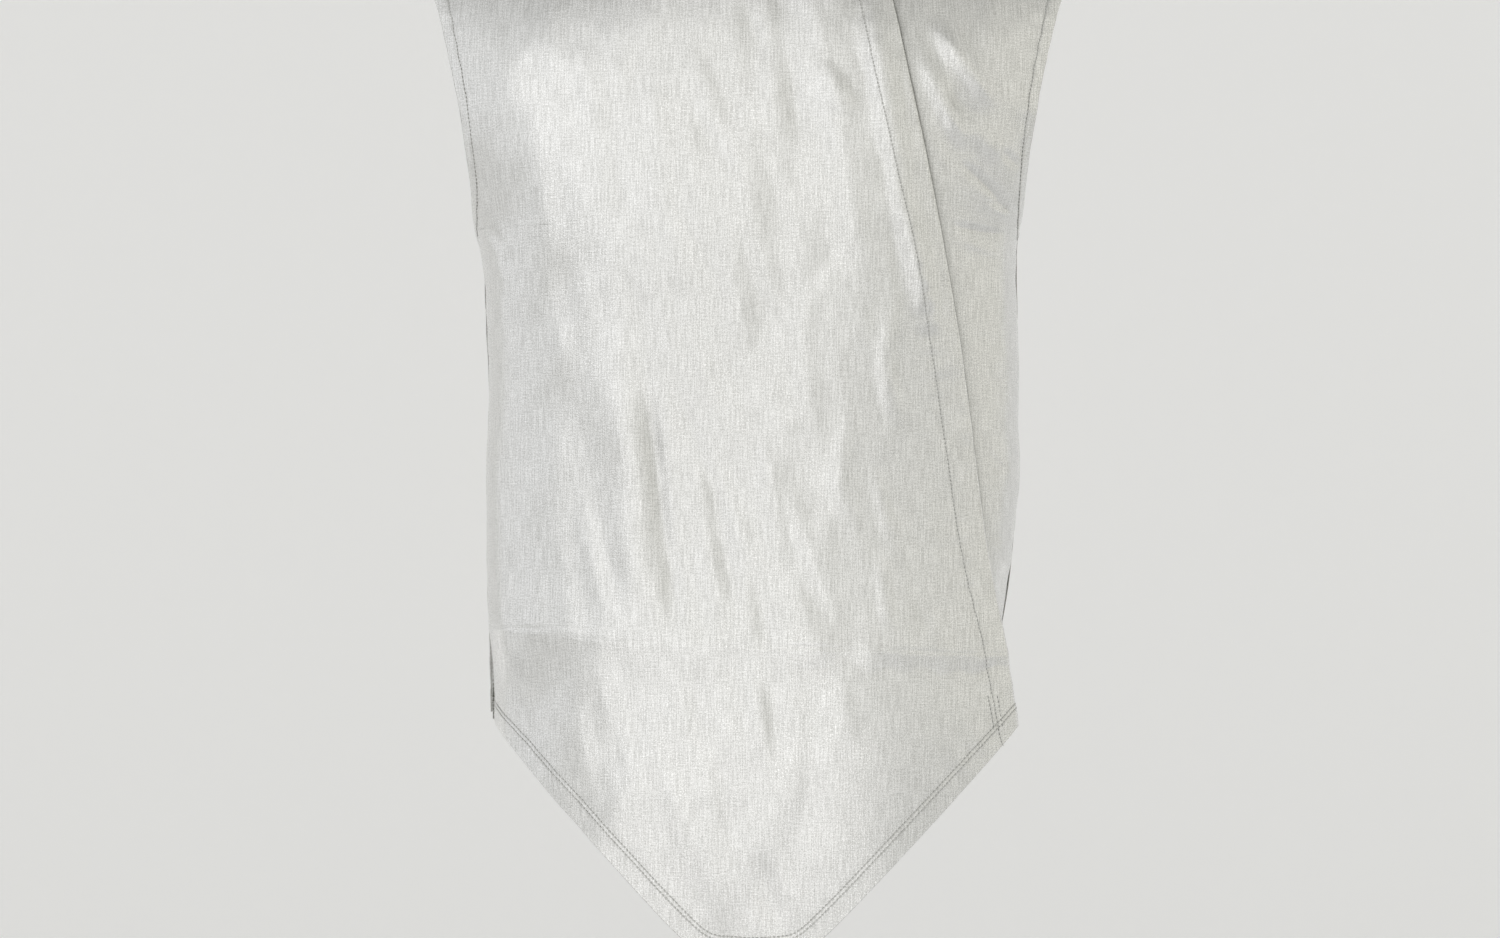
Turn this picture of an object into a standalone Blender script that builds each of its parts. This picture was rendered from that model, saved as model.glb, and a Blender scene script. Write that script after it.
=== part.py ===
# Sleeveless wrap-over vest of metallic cloth, as worn: two fronts, a back, a stand collar and a tape fastening.
# Metres, +Z up. The wearer faces -Y, so the wearer's right is at -X. The origin is at the base of the neck,
# midway between the two points where the shoulder seams meet the collar.

import math

import bmesh
import bpy
import numpy as np

# Cloth and seams
CLOTH = 0.0012
SEAM_GAP = 0.0003
LAYER_GAP = 0.0003
TAPE = 0.0010

# Neck and shoulders
NECK_HALF = 0.078
NECK_FRONT = 0.085
NECK_BACK = 0.065
SHOULDER_HALF = 0.228
SHOULDER_DROP = 0.058
FRONT_ROUND = 0.120
BACK_ROUND = 0.110

# Heights
ARMPIT_Z = -0.236
BACK_HEM_Z = -0.576
TIP_Z = -0.742

# Pointed front hem
TIP_CENTRE = 0.0025
TIP_HALF = 0.037
TIP_ROUND = 0.012
HEM_SLOPE = 1.095

# Wrap-over closing: columns of the lap, as distances inside the free edge. The tape fills three of them.
LAP_COLUMNS = (0.052, 0.042, 0.031, 0.021, 0.011, 0.0055, 0.002, 0.0)
TAPE_COLUMNS = (2, 5)
TAPE_LOW_Z = -0.450
TAPE_TOP_Z = -0.085
UNDERLAP = LAP_COLUMNS[0]
SIDE_CLEAR = 0.018
LAP_RAMP = 0.030
LAP_STAND = CLOTH + 3 * LAYER_GAP + 2 * TAPE
EDGE_STAND = 0.0026

# Stand collar: angles are degrees round the neck from the front, and its outer end laps over its inner end
COLLAR_RISE = 0.037
COLLAR_TUCK = 0.004
COLLAR_GAP = 0.0005
COLLAR_LEAN = 0.955
COLLAR_START = 42.0
COLLAR_END = 450.0
COLLAR_LAP_FULL = 100.0
COLLAR_LAP_GONE = 132.0

# How square the body's sections are: 2 is an ellipse, and a larger number is squarer
SQUARENESS = 2.5

# Sections of the worn form, from the neck down: half widths, which run on past the armholes, and depths before
# and behind the side seams. flap_half is the wearer's left side of the upper front, which hangs free of the
# body near the hem.
SECTION_COLUMNS = ("z", "right_half", "left_half", "flap_half", "front", "back")
SECTIONS = (
    (0.040, 0.2500, 0.2500, 0.2500, 0.0880, 0.0800),
    (0.000, 0.2500, 0.2500, 0.2500, 0.0940, 0.0880),
    (-0.058, 0.2480, 0.2480, 0.2480, 0.1020, 0.1030),
    (-0.107, 0.2330, 0.2330, 0.2330, 0.1110, 0.1115),
    (-0.142, 0.2225, 0.2225, 0.2225, 0.1165, 0.1155),
    (-0.178, 0.2110, 0.2105, 0.2105, 0.1205, 0.1165),
    (-0.206, 0.2005, 0.2000, 0.2000, 0.1225, 0.1155),
    (-0.236, 0.1910, 0.1902, 0.1902, 0.1230, 0.1120),
    (-0.262, 0.1862, 0.1885, 0.1885, 0.1220, 0.1080),
    (-0.290, 0.1842, 0.1891, 0.1891, 0.1200, 0.1040),
    (-0.360, 0.1822, 0.1902, 0.1902, 0.1150, 0.0950),
    (-0.420, 0.1838, 0.1898, 0.1908, 0.1120, 0.0910),
    (-0.500, 0.1820, 0.1802, 0.1940, 0.1130, 0.0950),
    (-0.580, 0.1812, 0.1680, 0.1985, 0.1160, 0.1040),
    (-0.660, 0.1812, 0.1680, 0.1990, 0.1130, 0.1040),
    (-0.760, 0.1812, 0.1680, 0.1990, 0.1040, 0.1040),
)

# Front view of the armhole's edge, from the shoulder down. Its foot is rounded over ARMHOLE_FOOT.
ARMHOLE_FOOT = 0.034
ARMHOLE_COLUMNS = ("z", "x")
ARMHOLE = (
    (0.040, 0.2280),
    (-0.058, 0.2280),
    (-0.075, 0.2195),
    (-0.107, 0.2100),
    (-0.142, 0.2020),
    (-0.178, 0.1965),
    (-0.206, 0.1925),
    (-0.236, 0.1875),
)

# Front view of the upper front's free edge, from the neck down to the hem's corner
FLAP_COLUMNS = ("z", "x")
FLAP = (
    (0.040, 0.0760),
    (0.000, 0.0780),
    (-0.078, 0.0975),
    (-0.110, 0.1045),
    (-0.171, 0.1175),
    (-0.230, 0.1290),
    (-0.323, 0.1452),
    (-0.390, 0.1542),
    (-0.452, 0.1625),
    (-0.514, 0.1738),
    (-0.582, 0.1850),
    (-0.760, 0.1850),
)

# The largest folds, as straight ridges (height above 0) or troughs seen from the front
FOLD_COLUMNS = ("x0", "z0", "x1", "z1", "width", "height")
RIGHT_FOLDS = (
    (0.080, -0.090, 0.124, -0.330, 0.011, 0.0045),
    (0.012, -0.060, 0.096, -0.240, 0.016, -0.0035),
    (0.030, -0.110, 0.066, -0.215, 0.012, 0.0030),
    (-0.046, -0.095, -0.002, -0.200, 0.014, -0.0028),
    (-0.077, -0.310, -0.040, -0.530, 0.015, -0.0040),
    (-0.098, -0.290, -0.068, -0.480, 0.013, 0.0028),
    (-0.030, -0.380, 0.002, -0.470, 0.012, -0.0025),
    (0.088, -0.270, 0.106, -0.400, 0.014, 0.0035),
    (0.052, -0.230, 0.046, -0.480, 0.020, 0.0030),
    (0.070, -0.550, 0.020, -0.700, 0.016, -0.0030),
    (-0.095, -0.560, -0.030, -0.700, 0.020, 0.0028),
    (-0.170, -0.521, 0.140, -0.534, 0.010, -0.0014),
)
LEFT_FOLDS = (
    (0.118, -0.090, 0.172, -0.160, 0.011, 0.0036),
    (0.112, -0.125, 0.150, -0.175, 0.009, -0.0026),
    (0.132, -0.170, 0.192, -0.215, 0.010, -0.0032),
    (0.140, -0.198, 0.192, -0.232, 0.009, 0.0028),
    (0.160, -0.300, 0.190, -0.400, 0.014, -0.0024),
)
BACK_FOLDS = (
    (-0.150, -0.100, -0.060, -0.190, 0.018, -0.0032),
    (0.155, -0.110, 0.070, -0.200, 0.018, -0.0030),
    (-0.160, -0.400, -0.050, -0.440, 0.016, 0.0036),
    (0.165, -0.390, 0.050, -0.450, 0.016, 0.0034),
    (-0.020, -0.280, -0.035, -0.520, 0.022, -0.0034),
    (0.090, -0.300, 0.070, -0.540, 0.018, 0.0030),
    (-0.170, -0.521, 0.170, -0.523, 0.010, -0.0014),
)

# Mesh steps. Rows: hem to LOW_SPLIT_Z, to ARMPIT_Z, to TOP_SPLIT_Z and to the neck and shoulder. Layers share
# them, and the third part is finest at the armpit.
LOW_SPLIT_Z = -0.530
TOP_SPLIT_Z = -0.160
FRONT_ROWS = (10, 17, 7, 10)
UNDER_ROWS = (4, 17, 7, 10)
BACK_ROWS = (4, 14, 7, 9)
ARMPIT_CROWDING = 1.35
SHOULDER_STEPS = {"right": 9, "left": 8, "back": 6}
NECK_STEPS = {"right": 11, "back": 17}
COLLAR_STEPS = (44, 2)
FINE_STEPS = 200
SOLVER_STEPS = 60

METAL_CLOTH = {"name": "lame_cloth", "colour": (0.62, 0.63, 0.60, 1.0), "metallic": 0.75, "roughness": 0.42}
PLAIN_TAPE = {"name": "fastening_tape", "colour": (0.60, 0.61, 0.59, 1.0), "metallic": 0.0, "roughness": 0.90}


def columns(table, names):
    """A table as named arrays, in rising order of z."""
    rising = np.array(table[::-1])
    return {name: rising[:, i] for i, name in enumerate(names)}


SECTION_AT = columns(SECTIONS, SECTION_COLUMNS)
ARMHOLE_AT = columns(ARMHOLE, ARMHOLE_COLUMNS)
FLAP_AT = columns(FLAP, FLAP_COLUMNS)


def smooth_at(z, heights, values):
    """A table's value at z, on a smooth curve through its points."""
    step = np.diff(heights)
    rise = np.diff(values) / step
    middle = (rise[:-1] * step[1:] + rise[1:] * step[:-1]) / (step[1:] + step[:-1])
    slope = np.concatenate(([rise[0]], middle, [rise[-1]]))
    z = np.clip(z, heights[0], heights[-1])
    i = np.clip(np.searchsorted(heights, z, side="right") - 1, 0, len(step) - 1)
    t = (z - heights[i]) / step[i]
    start = values[i] * (1 + 2 * t) + slope[i] * step[i] * t
    end = values[i + 1] * (3 - 2 * t) - slope[i + 1] * step[i] * (1 - t)
    return start * (1 - t) ** 2 + end * t ** 2


def smoothstep(value):
    t = np.clip(value, 0, 1)
    return t * t * (3 - 2 * t)


def section(z, name):
    return smooth_at(z, SECTION_AT["z"], SECTION_AT[name])


def armhole_x(z):
    return smooth_at(z, ARMHOLE_AT["z"], ARMHOLE_AT["x"])


def flap_x(z):
    return smooth_at(z, FLAP_AT["z"], FLAP_AT["x"])


def shoulder_z(x):
    """Height of the shoulder line, rounded over the neck opening."""
    slope = SHOULDER_DROP / (SHOULDER_HALF - NECK_HALF)
    out = np.abs(x)
    over_neck = slope * (NECK_HALF ** 2 - out ** 2) / (2 * NECK_HALF)
    return np.where(out < NECK_HALF, over_neck, -slope * (out - NECK_HALF))


def neckline(side, depth, rounding):
    """One side's neckline, where the form meets the upright neck oval: matching arrays of x and z."""
    x = NECK_HALF * np.sin(np.linspace(-math.pi / 2, math.pi / 2, 2 * FINE_STEPS))
    target = depth * np.sqrt(np.clip(1 - (x / NECK_HALF) ** 2, 0, 1))
    z = shoulder_z(x)
    for _ in range(SOLVER_STEPS):
        flat = section(z, side) * (1 - np.abs(x / section(z, "right_half")) ** SQUARENESS) ** (1 / SQUARENESS)
        cap = np.clip(target / flat, 0, 1)
        z = shoulder_z(x) - rounding * (1 - np.sqrt(1 - cap ** 2))
    return x, z


NECKLINES = {
    "front": neckline("front", NECK_FRONT, FRONT_ROUND),
    "back": neckline("back", NECK_BACK, BACK_ROUND),
}


def neck_z(x, side):
    return np.interp(x, *NECKLINES[side])


def top_z(x, side):
    return np.where(np.abs(x) < NECK_HALF, neck_z(x, side), shoulder_z(x))


def hem_z(x):
    """Height of the pointed front hem: two straight slopes to a short level tip with round corners."""
    out = np.abs(x - TIP_CENTRE) - TIP_HALF
    return TIP_Z + HEM_SLOPE * (out + np.sqrt(out ** 2 + TIP_ROUND ** 2)) / 2


def level_hem(x):
    return BACK_HEM_Z + 0 * x


def covered_x(z):
    """The free edge's line as the under front has it, which turns down before the side seam."""
    return np.minimum(flap_x(z), section(z, "left_half") - SIDE_CLEAR)


class Form:
    """The worn form's front or back. Angles run from its middle, positive towards the wearer's left."""

    def __init__(self, side, left_name="left_half"):
        self.side = side
        self.way = -1 if side == "front" else 1
        self.rounding = FRONT_ROUND if side == "front" else BACK_ROUND
        self.left_name = left_name

    def half(self, positive, z):
        return np.where(positive, section(z, self.left_name), section(z, "right_half"))

    def angle(self, x, z):
        """The angle at which the section at height z has this x."""
        share = np.clip(np.abs(x) / self.half(x > 0, z), 0, 1)
        depth = section(z, self.side) * (1 - share ** SQUARENESS) ** (1 / SQUARENESS)
        return np.arctan2(x, depth)

    def point(self, angle, z):
        """The body-side point of the cloth at an angle and height."""
        sine, cosine = np.sin(angle), np.cos(angle)
        across = np.abs(sine / self.half(angle > 0, z)) ** SQUARENESS
        deep = np.abs(cosine / section(z, self.side)) ** SQUARENESS
        radius = (across + deep) ** (-1 / SQUARENESS)
        x = radius * sine
        below = np.clip((shoulder_z(x) - z) / self.rounding, 0, 1)
        cap = np.sqrt(1 - (1 - below) ** 2)
        y = self.way * (radius * np.maximum(cosine, 0) * cap + SEAM_GAP / 2)
        return np.stack([x, y, z + 0 * x], axis=-1)

    def normal(self, points):
        """Unit normals of the form at points on it, pointing out of the body."""
        x, z = points[..., 0], points[..., 2]
        angle = self.angle(x, z)
        here = self.point(angle, z)
        across = here - self.point(angle - 0.004, z)
        up = here - self.point(angle, z - 0.0005)
        normal = np.cross(across, up) * -self.way
        return normal / np.linalg.norm(normal, axis=-1, keepdims=True)

    def edge(self, z, way):
        """The angle of the side seam below the armhole, and of the armhole above it."""
        up = np.clip((z - ARMPIT_Z) / ARMHOLE_FOOT, 0, 1)
        foot = np.sqrt(up * (2 - up))
        return way * (math.pi / 2 - foot * (math.pi / 2 - np.abs(self.angle(way * armhole_x(z), z))))

    def right_edge(self, z):
        return self.edge(z, -1)

    def left_edge(self, z):
        return self.edge(z, 1)

    def beside(self, edge, inside):
        """The line that runs this far inside an edge given by its x."""
        return lambda z: self.angle(edge(z) - inside, z)


def between(first, last, share):
    return lambda z: first(z) + (last(z) - first(z)) * share


def meeting_height(path, form, height_of):
    """The height where a column's path meets an edge."""
    z = np.asarray(-0.4)
    for _ in range(SOLVER_STEPS):
        z = (z + height_of(form.point(path(z), z)[..., 0])) / 2
    return z


def shares_at(x, first, last, form):
    """The shares across a panel of the columns whose top ends lie at these x."""
    shares = np.linspace(0, 1, FINE_STEPS)
    z = np.full(FINE_STEPS, -0.05)
    for _ in range(SOLVER_STEPS):
        angle = first(z) + (last(z) - first(z)) * shares
        z = (z + top_z(form.point(angle, z)[..., 0], form.side)) / 2
    return np.interp(x, form.point(angle, z)[..., 0], shares)


def evenly(points, count):
    """The same line with count steps of equal length."""
    length = np.concatenate(([0.0], np.cumsum(np.linalg.norm(np.diff(points, axis=0), axis=1))))
    marks = np.linspace(0, length[-1], count + 1)
    return np.stack([np.interp(marks, length, points[:, k]) for k in range(3)], axis=-1)


def panel_grid(form, paths, low_z, rows):
    """Points of a panel: rows from hem to top, and a column on each path."""
    lines = []
    for path in paths:
        low = meeting_height(path, form, low_z)
        high = meeting_height(path, form, lambda x: top_z(x, form.side))
        marks = (low, LOW_SPLIT_Z, ARMPIT_Z, TOP_SPLIT_Z, high)
        parts = []
        for from_z, to_z, count in zip(marks, marks[1:], rows):
            if from_z == ARMPIT_Z:
                z = from_z + (to_z - from_z) * np.linspace(0, 1, count + 1) ** ARMPIT_CROWDING
                parts.append(form.point(path(z), z)[:-1])
                continue
            z = from_z + (to_z - from_z) * np.sin(np.linspace(0, math.pi / 2, FINE_STEPS))
            parts.append(evenly(form.point(path(z), z), count)[:-1])
        parts.append(form.point(path(high), high)[None])
        lines.append(np.concatenate(parts))
    return np.stack(lines, axis=1)


def lap_paths(form, edge):
    return [form.beside(edge, inside) for inside in LAP_COLUMNS]


def fold_height(grid, folds):
    """How far the folds lift the cloth at each point, fading to nothing at both ends of each fold."""
    x, z = grid[..., 0], grid[..., 2]
    lift = np.zeros_like(x)
    for x0, z0, x1, z1, width, height in folds:
        run = (x1 - x0) ** 2 + (z1 - z0) ** 2
        along = np.clip(((x - x0) * (x1 - x0) + (z - z0) * (z1 - z0)) / run, 0, 1)
        away = np.hypot(x - x0 - along * (x1 - x0), z - z0 - along * (z1 - z0))
        lift += height * np.exp(-(away / width) ** 2) * np.sin(math.pi * along) ** 0.6
    return lift


def lifted(grid, form, lift):
    """The grid moved out from the body, kept on its own side of the side and shoulder seams."""
    moved = grid + form.normal(grid) * np.asarray(lift)[..., None]
    moved[..., 1] = form.way * np.maximum(form.way * moved[..., 1], SEAM_GAP / 2)
    return moved


def right_front():
    """The upper front: from the right side seam across the chest to the slanting free edge."""
    form = Form("front", "flap_half")
    first, last = form.right_edge, form.beside(flap_x, UNDERLAP)
    neck_from, neck_to = -math.pi / 2, math.asin((NECK_HALF - UNDERLAP) / NECK_HALF)
    turns = np.linspace(neck_from, neck_to, NECK_STEPS["right"] + 1)[:-1]
    neck = shares_at(NECK_HALF * np.sin(turns), first, last, form)
    shoulder = np.linspace(0, neck[0], SHOULDER_STEPS["right"] + 1)[:-1]
    paths = [between(first, last, share) for share in (*shoulder, *neck)] + lap_paths(form, flap_x)
    grid = panel_grid(form, paths, hem_z, FRONT_ROWS)
    inside = flap_x(grid[..., 2]) - grid[..., 0]
    lapped = smoothstep((UNDERLAP - inside) / LAP_RAMP + 1)
    to_edge = smoothstep(1 - inside / LAP_COLUMNS[4])
    stand = LAP_STAND + (EDGE_STAND - LAP_STAND) * to_edge
    folds = fold_height(grid, RIGHT_FOLDS)
    return lifted(grid, form, lapped * (stand + np.maximum(folds, 0)) + (1 - lapped) * folds)


def left_front():
    """The under front: from beneath the free edge round to the left side seam."""
    form = Form("front")
    first, last = form.beside(covered_x, 0.0), form.left_edge
    shoulder = np.linspace(0, 1, SHOULDER_STEPS["left"] + 1)[1:]
    paths = lap_paths(form, covered_x) + [between(first, last, share) for share in shoulder]
    grid = panel_grid(form, paths, level_hem, UNDER_ROWS)
    uncovered = smoothstep((grid[..., 0] - flap_x(grid[..., 2])) / LAP_RAMP)
    return lifted(grid, form, uncovered * fold_height(grid, LEFT_FOLDS))


def back():
    """The back: from side seam to side seam, with a level hem."""
    form = Form("back")
    first, last = form.right_edge, form.left_edge
    turns = np.linspace(-math.pi / 2, math.pi / 2, NECK_STEPS["back"] + 1)
    neck = shares_at(NECK_HALF * np.sin(turns), first, last, form)
    right = np.linspace(0, neck[0], SHOULDER_STEPS["back"] + 1)[:-1]
    left = np.linspace(neck[-1], 1, SHOULDER_STEPS["back"] + 1)[1:]
    paths = [between(first, last, share) for share in (*right, *neck, *left)]
    grid = panel_grid(form, paths, level_hem, BACK_ROWS)
    return lifted(grid, form, fold_height(grid, BACK_FOLDS))


def tape(left_name, edge, stand):
    """A strip of fastening tape beside the free edge, made from the lap's own points and moved out."""
    form = Form("front", left_name)
    grid = panel_grid(form, lap_paths(form, edge)[slice(*TAPE_COLUMNS)], level_hem, UNDER_ROWS)
    heights = grid[:, 0, 2]
    grid = grid[(heights > TAPE_LOW_Z) & (heights < TAPE_TOP_Z)]
    return lifted(grid, form, np.full(grid.shape[:2], stand))


def collar():
    """The stand collar, one strip round the neck whose last end laps over its first end."""
    turns, rows = COLLAR_STEPS
    angle = np.linspace(COLLAR_START, COLLAR_END, turns + 1)
    turn = np.radians(angle)
    under = 1 - smoothstep((angle - COLLAR_LAP_FULL) / (COLLAR_LAP_GONE - COLLAR_LAP_FULL))
    inset = CLOTH + COLLAR_GAP + (CLOTH + LAYER_GAP) * under
    ahead = np.cos(turn) > 0
    x = (NECK_HALF - inset) * np.sin(turn)
    y = -(np.where(ahead, NECK_FRONT, NECK_BACK) - inset) * np.cos(turn)
    at_seam = NECK_HALF * np.sin(turn)
    seam = np.where(ahead, neck_z(at_seam, "front"), neck_z(at_seam, "back"))
    foot = seam - COLLAR_TUCK
    head = seam + COLLAR_RISE
    lines = []
    for share in np.linspace(0, 1, rows + 1):
        lean = 1 + (COLLAR_LEAN - 1) * share
        lines.append(np.stack([x * lean, y * lean, foot + (head - foot) * share], axis=-1))
    return np.stack(lines, axis=0)


def material(recipe):
    made = bpy.data.materials.get(recipe["name"]) or bpy.data.materials.new(recipe["name"])
    made.use_nodes = True
    shader = made.node_tree.nodes["Principled BSDF"]
    shader.inputs["Base Color"].default_value = recipe["colour"]
    shader.inputs["Metallic"].default_value = recipe["metallic"]
    shader.inputs["Roughness"].default_value = recipe["roughness"]
    made.diffuse_color = recipe["colour"]
    return made


def cloth_object(name, grid, thickness, recipe, collection):
    """A wall of cloth: the grid is its body side, and Solidify gives it its thickness outwards."""
    rows, count = grid.shape[:2]
    shape = bmesh.new()
    corners = [[shape.verts.new(point) for point in line] for line in grid.tolist()]
    for i in range(rows - 1):
        for j in range(count - 1):
            shape.faces.new((corners[i][j], corners[i][j + 1], corners[i + 1][j + 1], corners[i + 1][j]))
    mesh = bpy.data.meshes.new(name)
    shape.to_mesh(mesh)
    shape.free()
    mesh.shade_smooth()
    mesh.materials.append(material(recipe))
    made = bpy.data.objects.new(name, mesh)
    collection.objects.link(made)
    wall = made.modifiers.new("wall", "SOLIDIFY")
    wall.thickness = thickness
    wall.offset = 1.0
    wall.use_even_offset = True


def main():
    for old in list(bpy.data.objects):
        bpy.data.objects.remove(old)
    collection = bpy.data.collections.new("lame_vest")
    bpy.context.scene.collection.children.link(collection)
    cloth_object("front_right", right_front(), CLOTH, METAL_CLOTH, collection)
    cloth_object("front_left", left_front(), CLOTH, METAL_CLOTH, collection)
    cloth_object("back", back()[:, ::-1], CLOTH, METAL_CLOTH, collection)
    cloth_object("collar", collar(), CLOTH, METAL_CLOTH, collection)
    hook_stand = CLOTH + LAYER_GAP
    loop_stand = LAP_STAND - LAYER_GAP - TAPE
    cloth_object("tape_hook", tape("left_half", covered_x, hook_stand), TAPE, PLAIN_TAPE, collection)
    cloth_object("tape_loop", tape("flap_half", flap_x, loop_stand), TAPE, PLAIN_TAPE, collection)


main()
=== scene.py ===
# Looks of a sleeveless wrap-over vest of silvery metal cloth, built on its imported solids.
# Metres, +Z up. The wearer faces -Y, and the origin is at the base of the neck.

import math

import bpy
import numpy as np
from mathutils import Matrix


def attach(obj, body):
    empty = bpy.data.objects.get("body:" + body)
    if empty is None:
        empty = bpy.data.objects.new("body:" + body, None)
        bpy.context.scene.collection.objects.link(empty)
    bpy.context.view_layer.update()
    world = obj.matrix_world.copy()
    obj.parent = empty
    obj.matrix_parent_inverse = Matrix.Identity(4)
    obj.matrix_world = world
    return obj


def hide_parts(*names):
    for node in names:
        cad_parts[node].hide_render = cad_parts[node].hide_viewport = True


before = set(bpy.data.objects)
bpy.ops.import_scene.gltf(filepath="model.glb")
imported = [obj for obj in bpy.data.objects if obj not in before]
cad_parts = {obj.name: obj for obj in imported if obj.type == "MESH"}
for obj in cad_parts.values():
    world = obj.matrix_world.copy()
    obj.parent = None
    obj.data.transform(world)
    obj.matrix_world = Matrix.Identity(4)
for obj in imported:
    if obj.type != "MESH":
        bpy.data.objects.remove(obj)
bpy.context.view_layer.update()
print("frame loaded")


# The worn form. Every piece of cloth lies on it.
form = {
    "clothThickness": 0.0012,
    "seamGap": 0.0003,
    "neckHalf": 0.078,
    "neckFront": 0.085,
    "neckBack": 0.065,
    "shoulderHalf": 0.228,
    "shoulderDrop": 0.058,
    "squareness": 2.5,  # 2 is an ellipse, more is squarer
    "armpitZ": -0.236,
    "armholeFoot": 0.034,
    "backHemZ": -0.576,
    "tipZ": -0.742,
    "tipCentre": 0.0025,
    "tipHalf": 0.037,
    "tipRound": 0.012,
    "hemSlope": 1.095,
    "sideClear": 0.018,
}

# z, half width on the wearer's right, on the left, on the left of the upper front,
# depth in front, depth behind
sections = np.array([
    (-0.760, 0.1812, 0.1680, 0.1990, 0.1040, 0.1040),
    (-0.660, 0.1812, 0.1680, 0.1990, 0.1130, 0.1040),
    (-0.580, 0.1812, 0.1680, 0.1985, 0.1160, 0.1040),
    (-0.500, 0.1820, 0.1802, 0.1940, 0.1130, 0.0950),
    (-0.420, 0.1838, 0.1898, 0.1908, 0.1120, 0.0910),
    (-0.360, 0.1822, 0.1902, 0.1902, 0.1150, 0.0950),
    (-0.290, 0.1842, 0.1891, 0.1891, 0.1200, 0.1040),
    (-0.262, 0.1862, 0.1885, 0.1885, 0.1220, 0.1080),
    (-0.236, 0.1910, 0.1902, 0.1902, 0.1230, 0.1120),
    (-0.206, 0.2005, 0.2000, 0.2000, 0.1225, 0.1155),
    (-0.178, 0.2110, 0.2105, 0.2105, 0.1205, 0.1165),
    (-0.142, 0.2225, 0.2225, 0.2225, 0.1165, 0.1155),
    (-0.107, 0.2330, 0.2330, 0.2330, 0.1110, 0.1115),
    (-0.058, 0.2480, 0.2480, 0.2480, 0.1020, 0.1030),
    (0.000, 0.2500, 0.2500, 0.2500, 0.0940, 0.0880),
    (0.040, 0.2500, 0.2500, 0.2500, 0.0880, 0.0800),
])
sectionColumn = {"right": 1, "left": 2, "flapSide": 3, "front": 4, "back": 5}

# z, x of the armhole's edge
armholeLine = np.array([
    (-0.236, 0.1875), (-0.206, 0.1925), (-0.178, 0.1965), (-0.142, 0.2020),
    (-0.107, 0.2100), (-0.075, 0.2195), (-0.058, 0.2280), (0.040, 0.2280),
])

# z, x of the upper front's free edge
flapLine = np.array([
    (-0.760, 0.1850), (-0.582, 0.1850), (-0.514, 0.1738), (-0.452, 0.1625),
    (-0.390, 0.1542), (-0.323, 0.1452), (-0.230, 0.1290), (-0.171, 0.1175),
    (-0.110, 0.1045), (-0.078, 0.0975), (0.000, 0.0780), (0.040, 0.0760),
])

upperFront = {"depth": "front", "way": -1, "round": 0.120, "left": "flapSide"}
underFront = {"depth": "front", "way": -1, "round": 0.120, "left": "left"}
backSide = {"depth": "back", "way": 1, "round": 0.110, "left": "left"}


def smoothAt(z, heights, values):
    # a table's value at z, on a smooth curve through its points
    step = np.diff(heights)
    rise = np.diff(values) / step
    middle = (rise[:-1] * step[1:] + rise[1:] * step[:-1]) / (step[1:] + step[:-1])
    slope = np.concatenate(([rise[0]], middle, [rise[-1]]))
    z = np.clip(z, heights[0], heights[-1])
    i = np.clip(np.searchsorted(heights, z, side="right") - 1, 0, len(step) - 1)
    t = (z - heights[i]) / step[i]
    start = values[i] * (1 + 2 * t) + slope[i] * step[i] * t
    end = values[i + 1] * (3 - 2 * t) - slope[i + 1] * step[i] * (1 - t)
    return start * (1 - t) ** 2 + end * t ** 2


def smoothStep(value):
    t = np.clip(value, 0, 1)
    return t * t * (3 - 2 * t)


def sectionAt(z, name):
    return smoothAt(z, sections[:, 0], sections[:, sectionColumn[name]])


def armholeX(z):
    return smoothAt(z, armholeLine[:, 0], armholeLine[:, 1])


def flapX(z):
    return smoothAt(z, flapLine[:, 0], flapLine[:, 1])


def coveredX(z):
    # the free edge's line as the under front has it, which turns down before the side seam
    return np.minimum(flapX(z), sectionAt(z, "left") - form["sideClear"])


def shoulderZ(x):
    slope = form["shoulderDrop"] / (form["shoulderHalf"] - form["neckHalf"])
    out = np.abs(x)
    overNeck = slope * (form["neckHalf"] ** 2 - out ** 2) / (2 * form["neckHalf"])
    return np.where(out < form["neckHalf"], overNeck, -slope * (out - form["neckHalf"]))


def neckline(side, neckDepth):
    # where the form meets the upright neck oval: matching x and z
    power = form["squareness"]
    x = form["neckHalf"] * np.sin(np.linspace(-math.pi / 2, math.pi / 2, 400))
    target = neckDepth * np.sqrt(np.clip(1 - (x / form["neckHalf"]) ** 2, 0, 1))
    z = shoulderZ(x)
    for _ in range(60):
        flat = sectionAt(z, side["depth"]) * (1 - np.abs(x / sectionAt(z, "right")) ** power) ** (1 / power)
        cap = np.clip(target / flat, 0, 1)
        z = shoulderZ(x) - side["round"] * (1 - np.sqrt(1 - cap ** 2))
    return x, z


necklines = {
    "front": neckline(upperFront, form["neckFront"]),
    "back": neckline(backSide, form["neckBack"]),
}


def neckZ(x, depth):
    return np.interp(x, *necklines[depth])


def topZ(x, side):
    return np.where(np.abs(x) < form["neckHalf"], neckZ(x, side["depth"]), shoulderZ(x))


def pointedHemZ(x):
    out = np.abs(x - form["tipCentre"]) - form["tipHalf"]
    return form["tipZ"] + form["hemSlope"] * (out + np.sqrt(out ** 2 + form["tipRound"] ** 2)) / 2


def levelHemZ(x):
    return form["backHemZ"] + 0 * x


def formHalf(side, positive, z):
    return np.where(positive, sectionAt(z, side["left"]), sectionAt(z, "right"))


def formAngle(side, x, z):
    power = form["squareness"]
    share = np.clip(np.abs(x) / formHalf(side, x > 0, z), 0, 1)
    return np.arctan2(x, sectionAt(z, side["depth"]) * (1 - share ** power) ** (1 / power))


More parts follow.
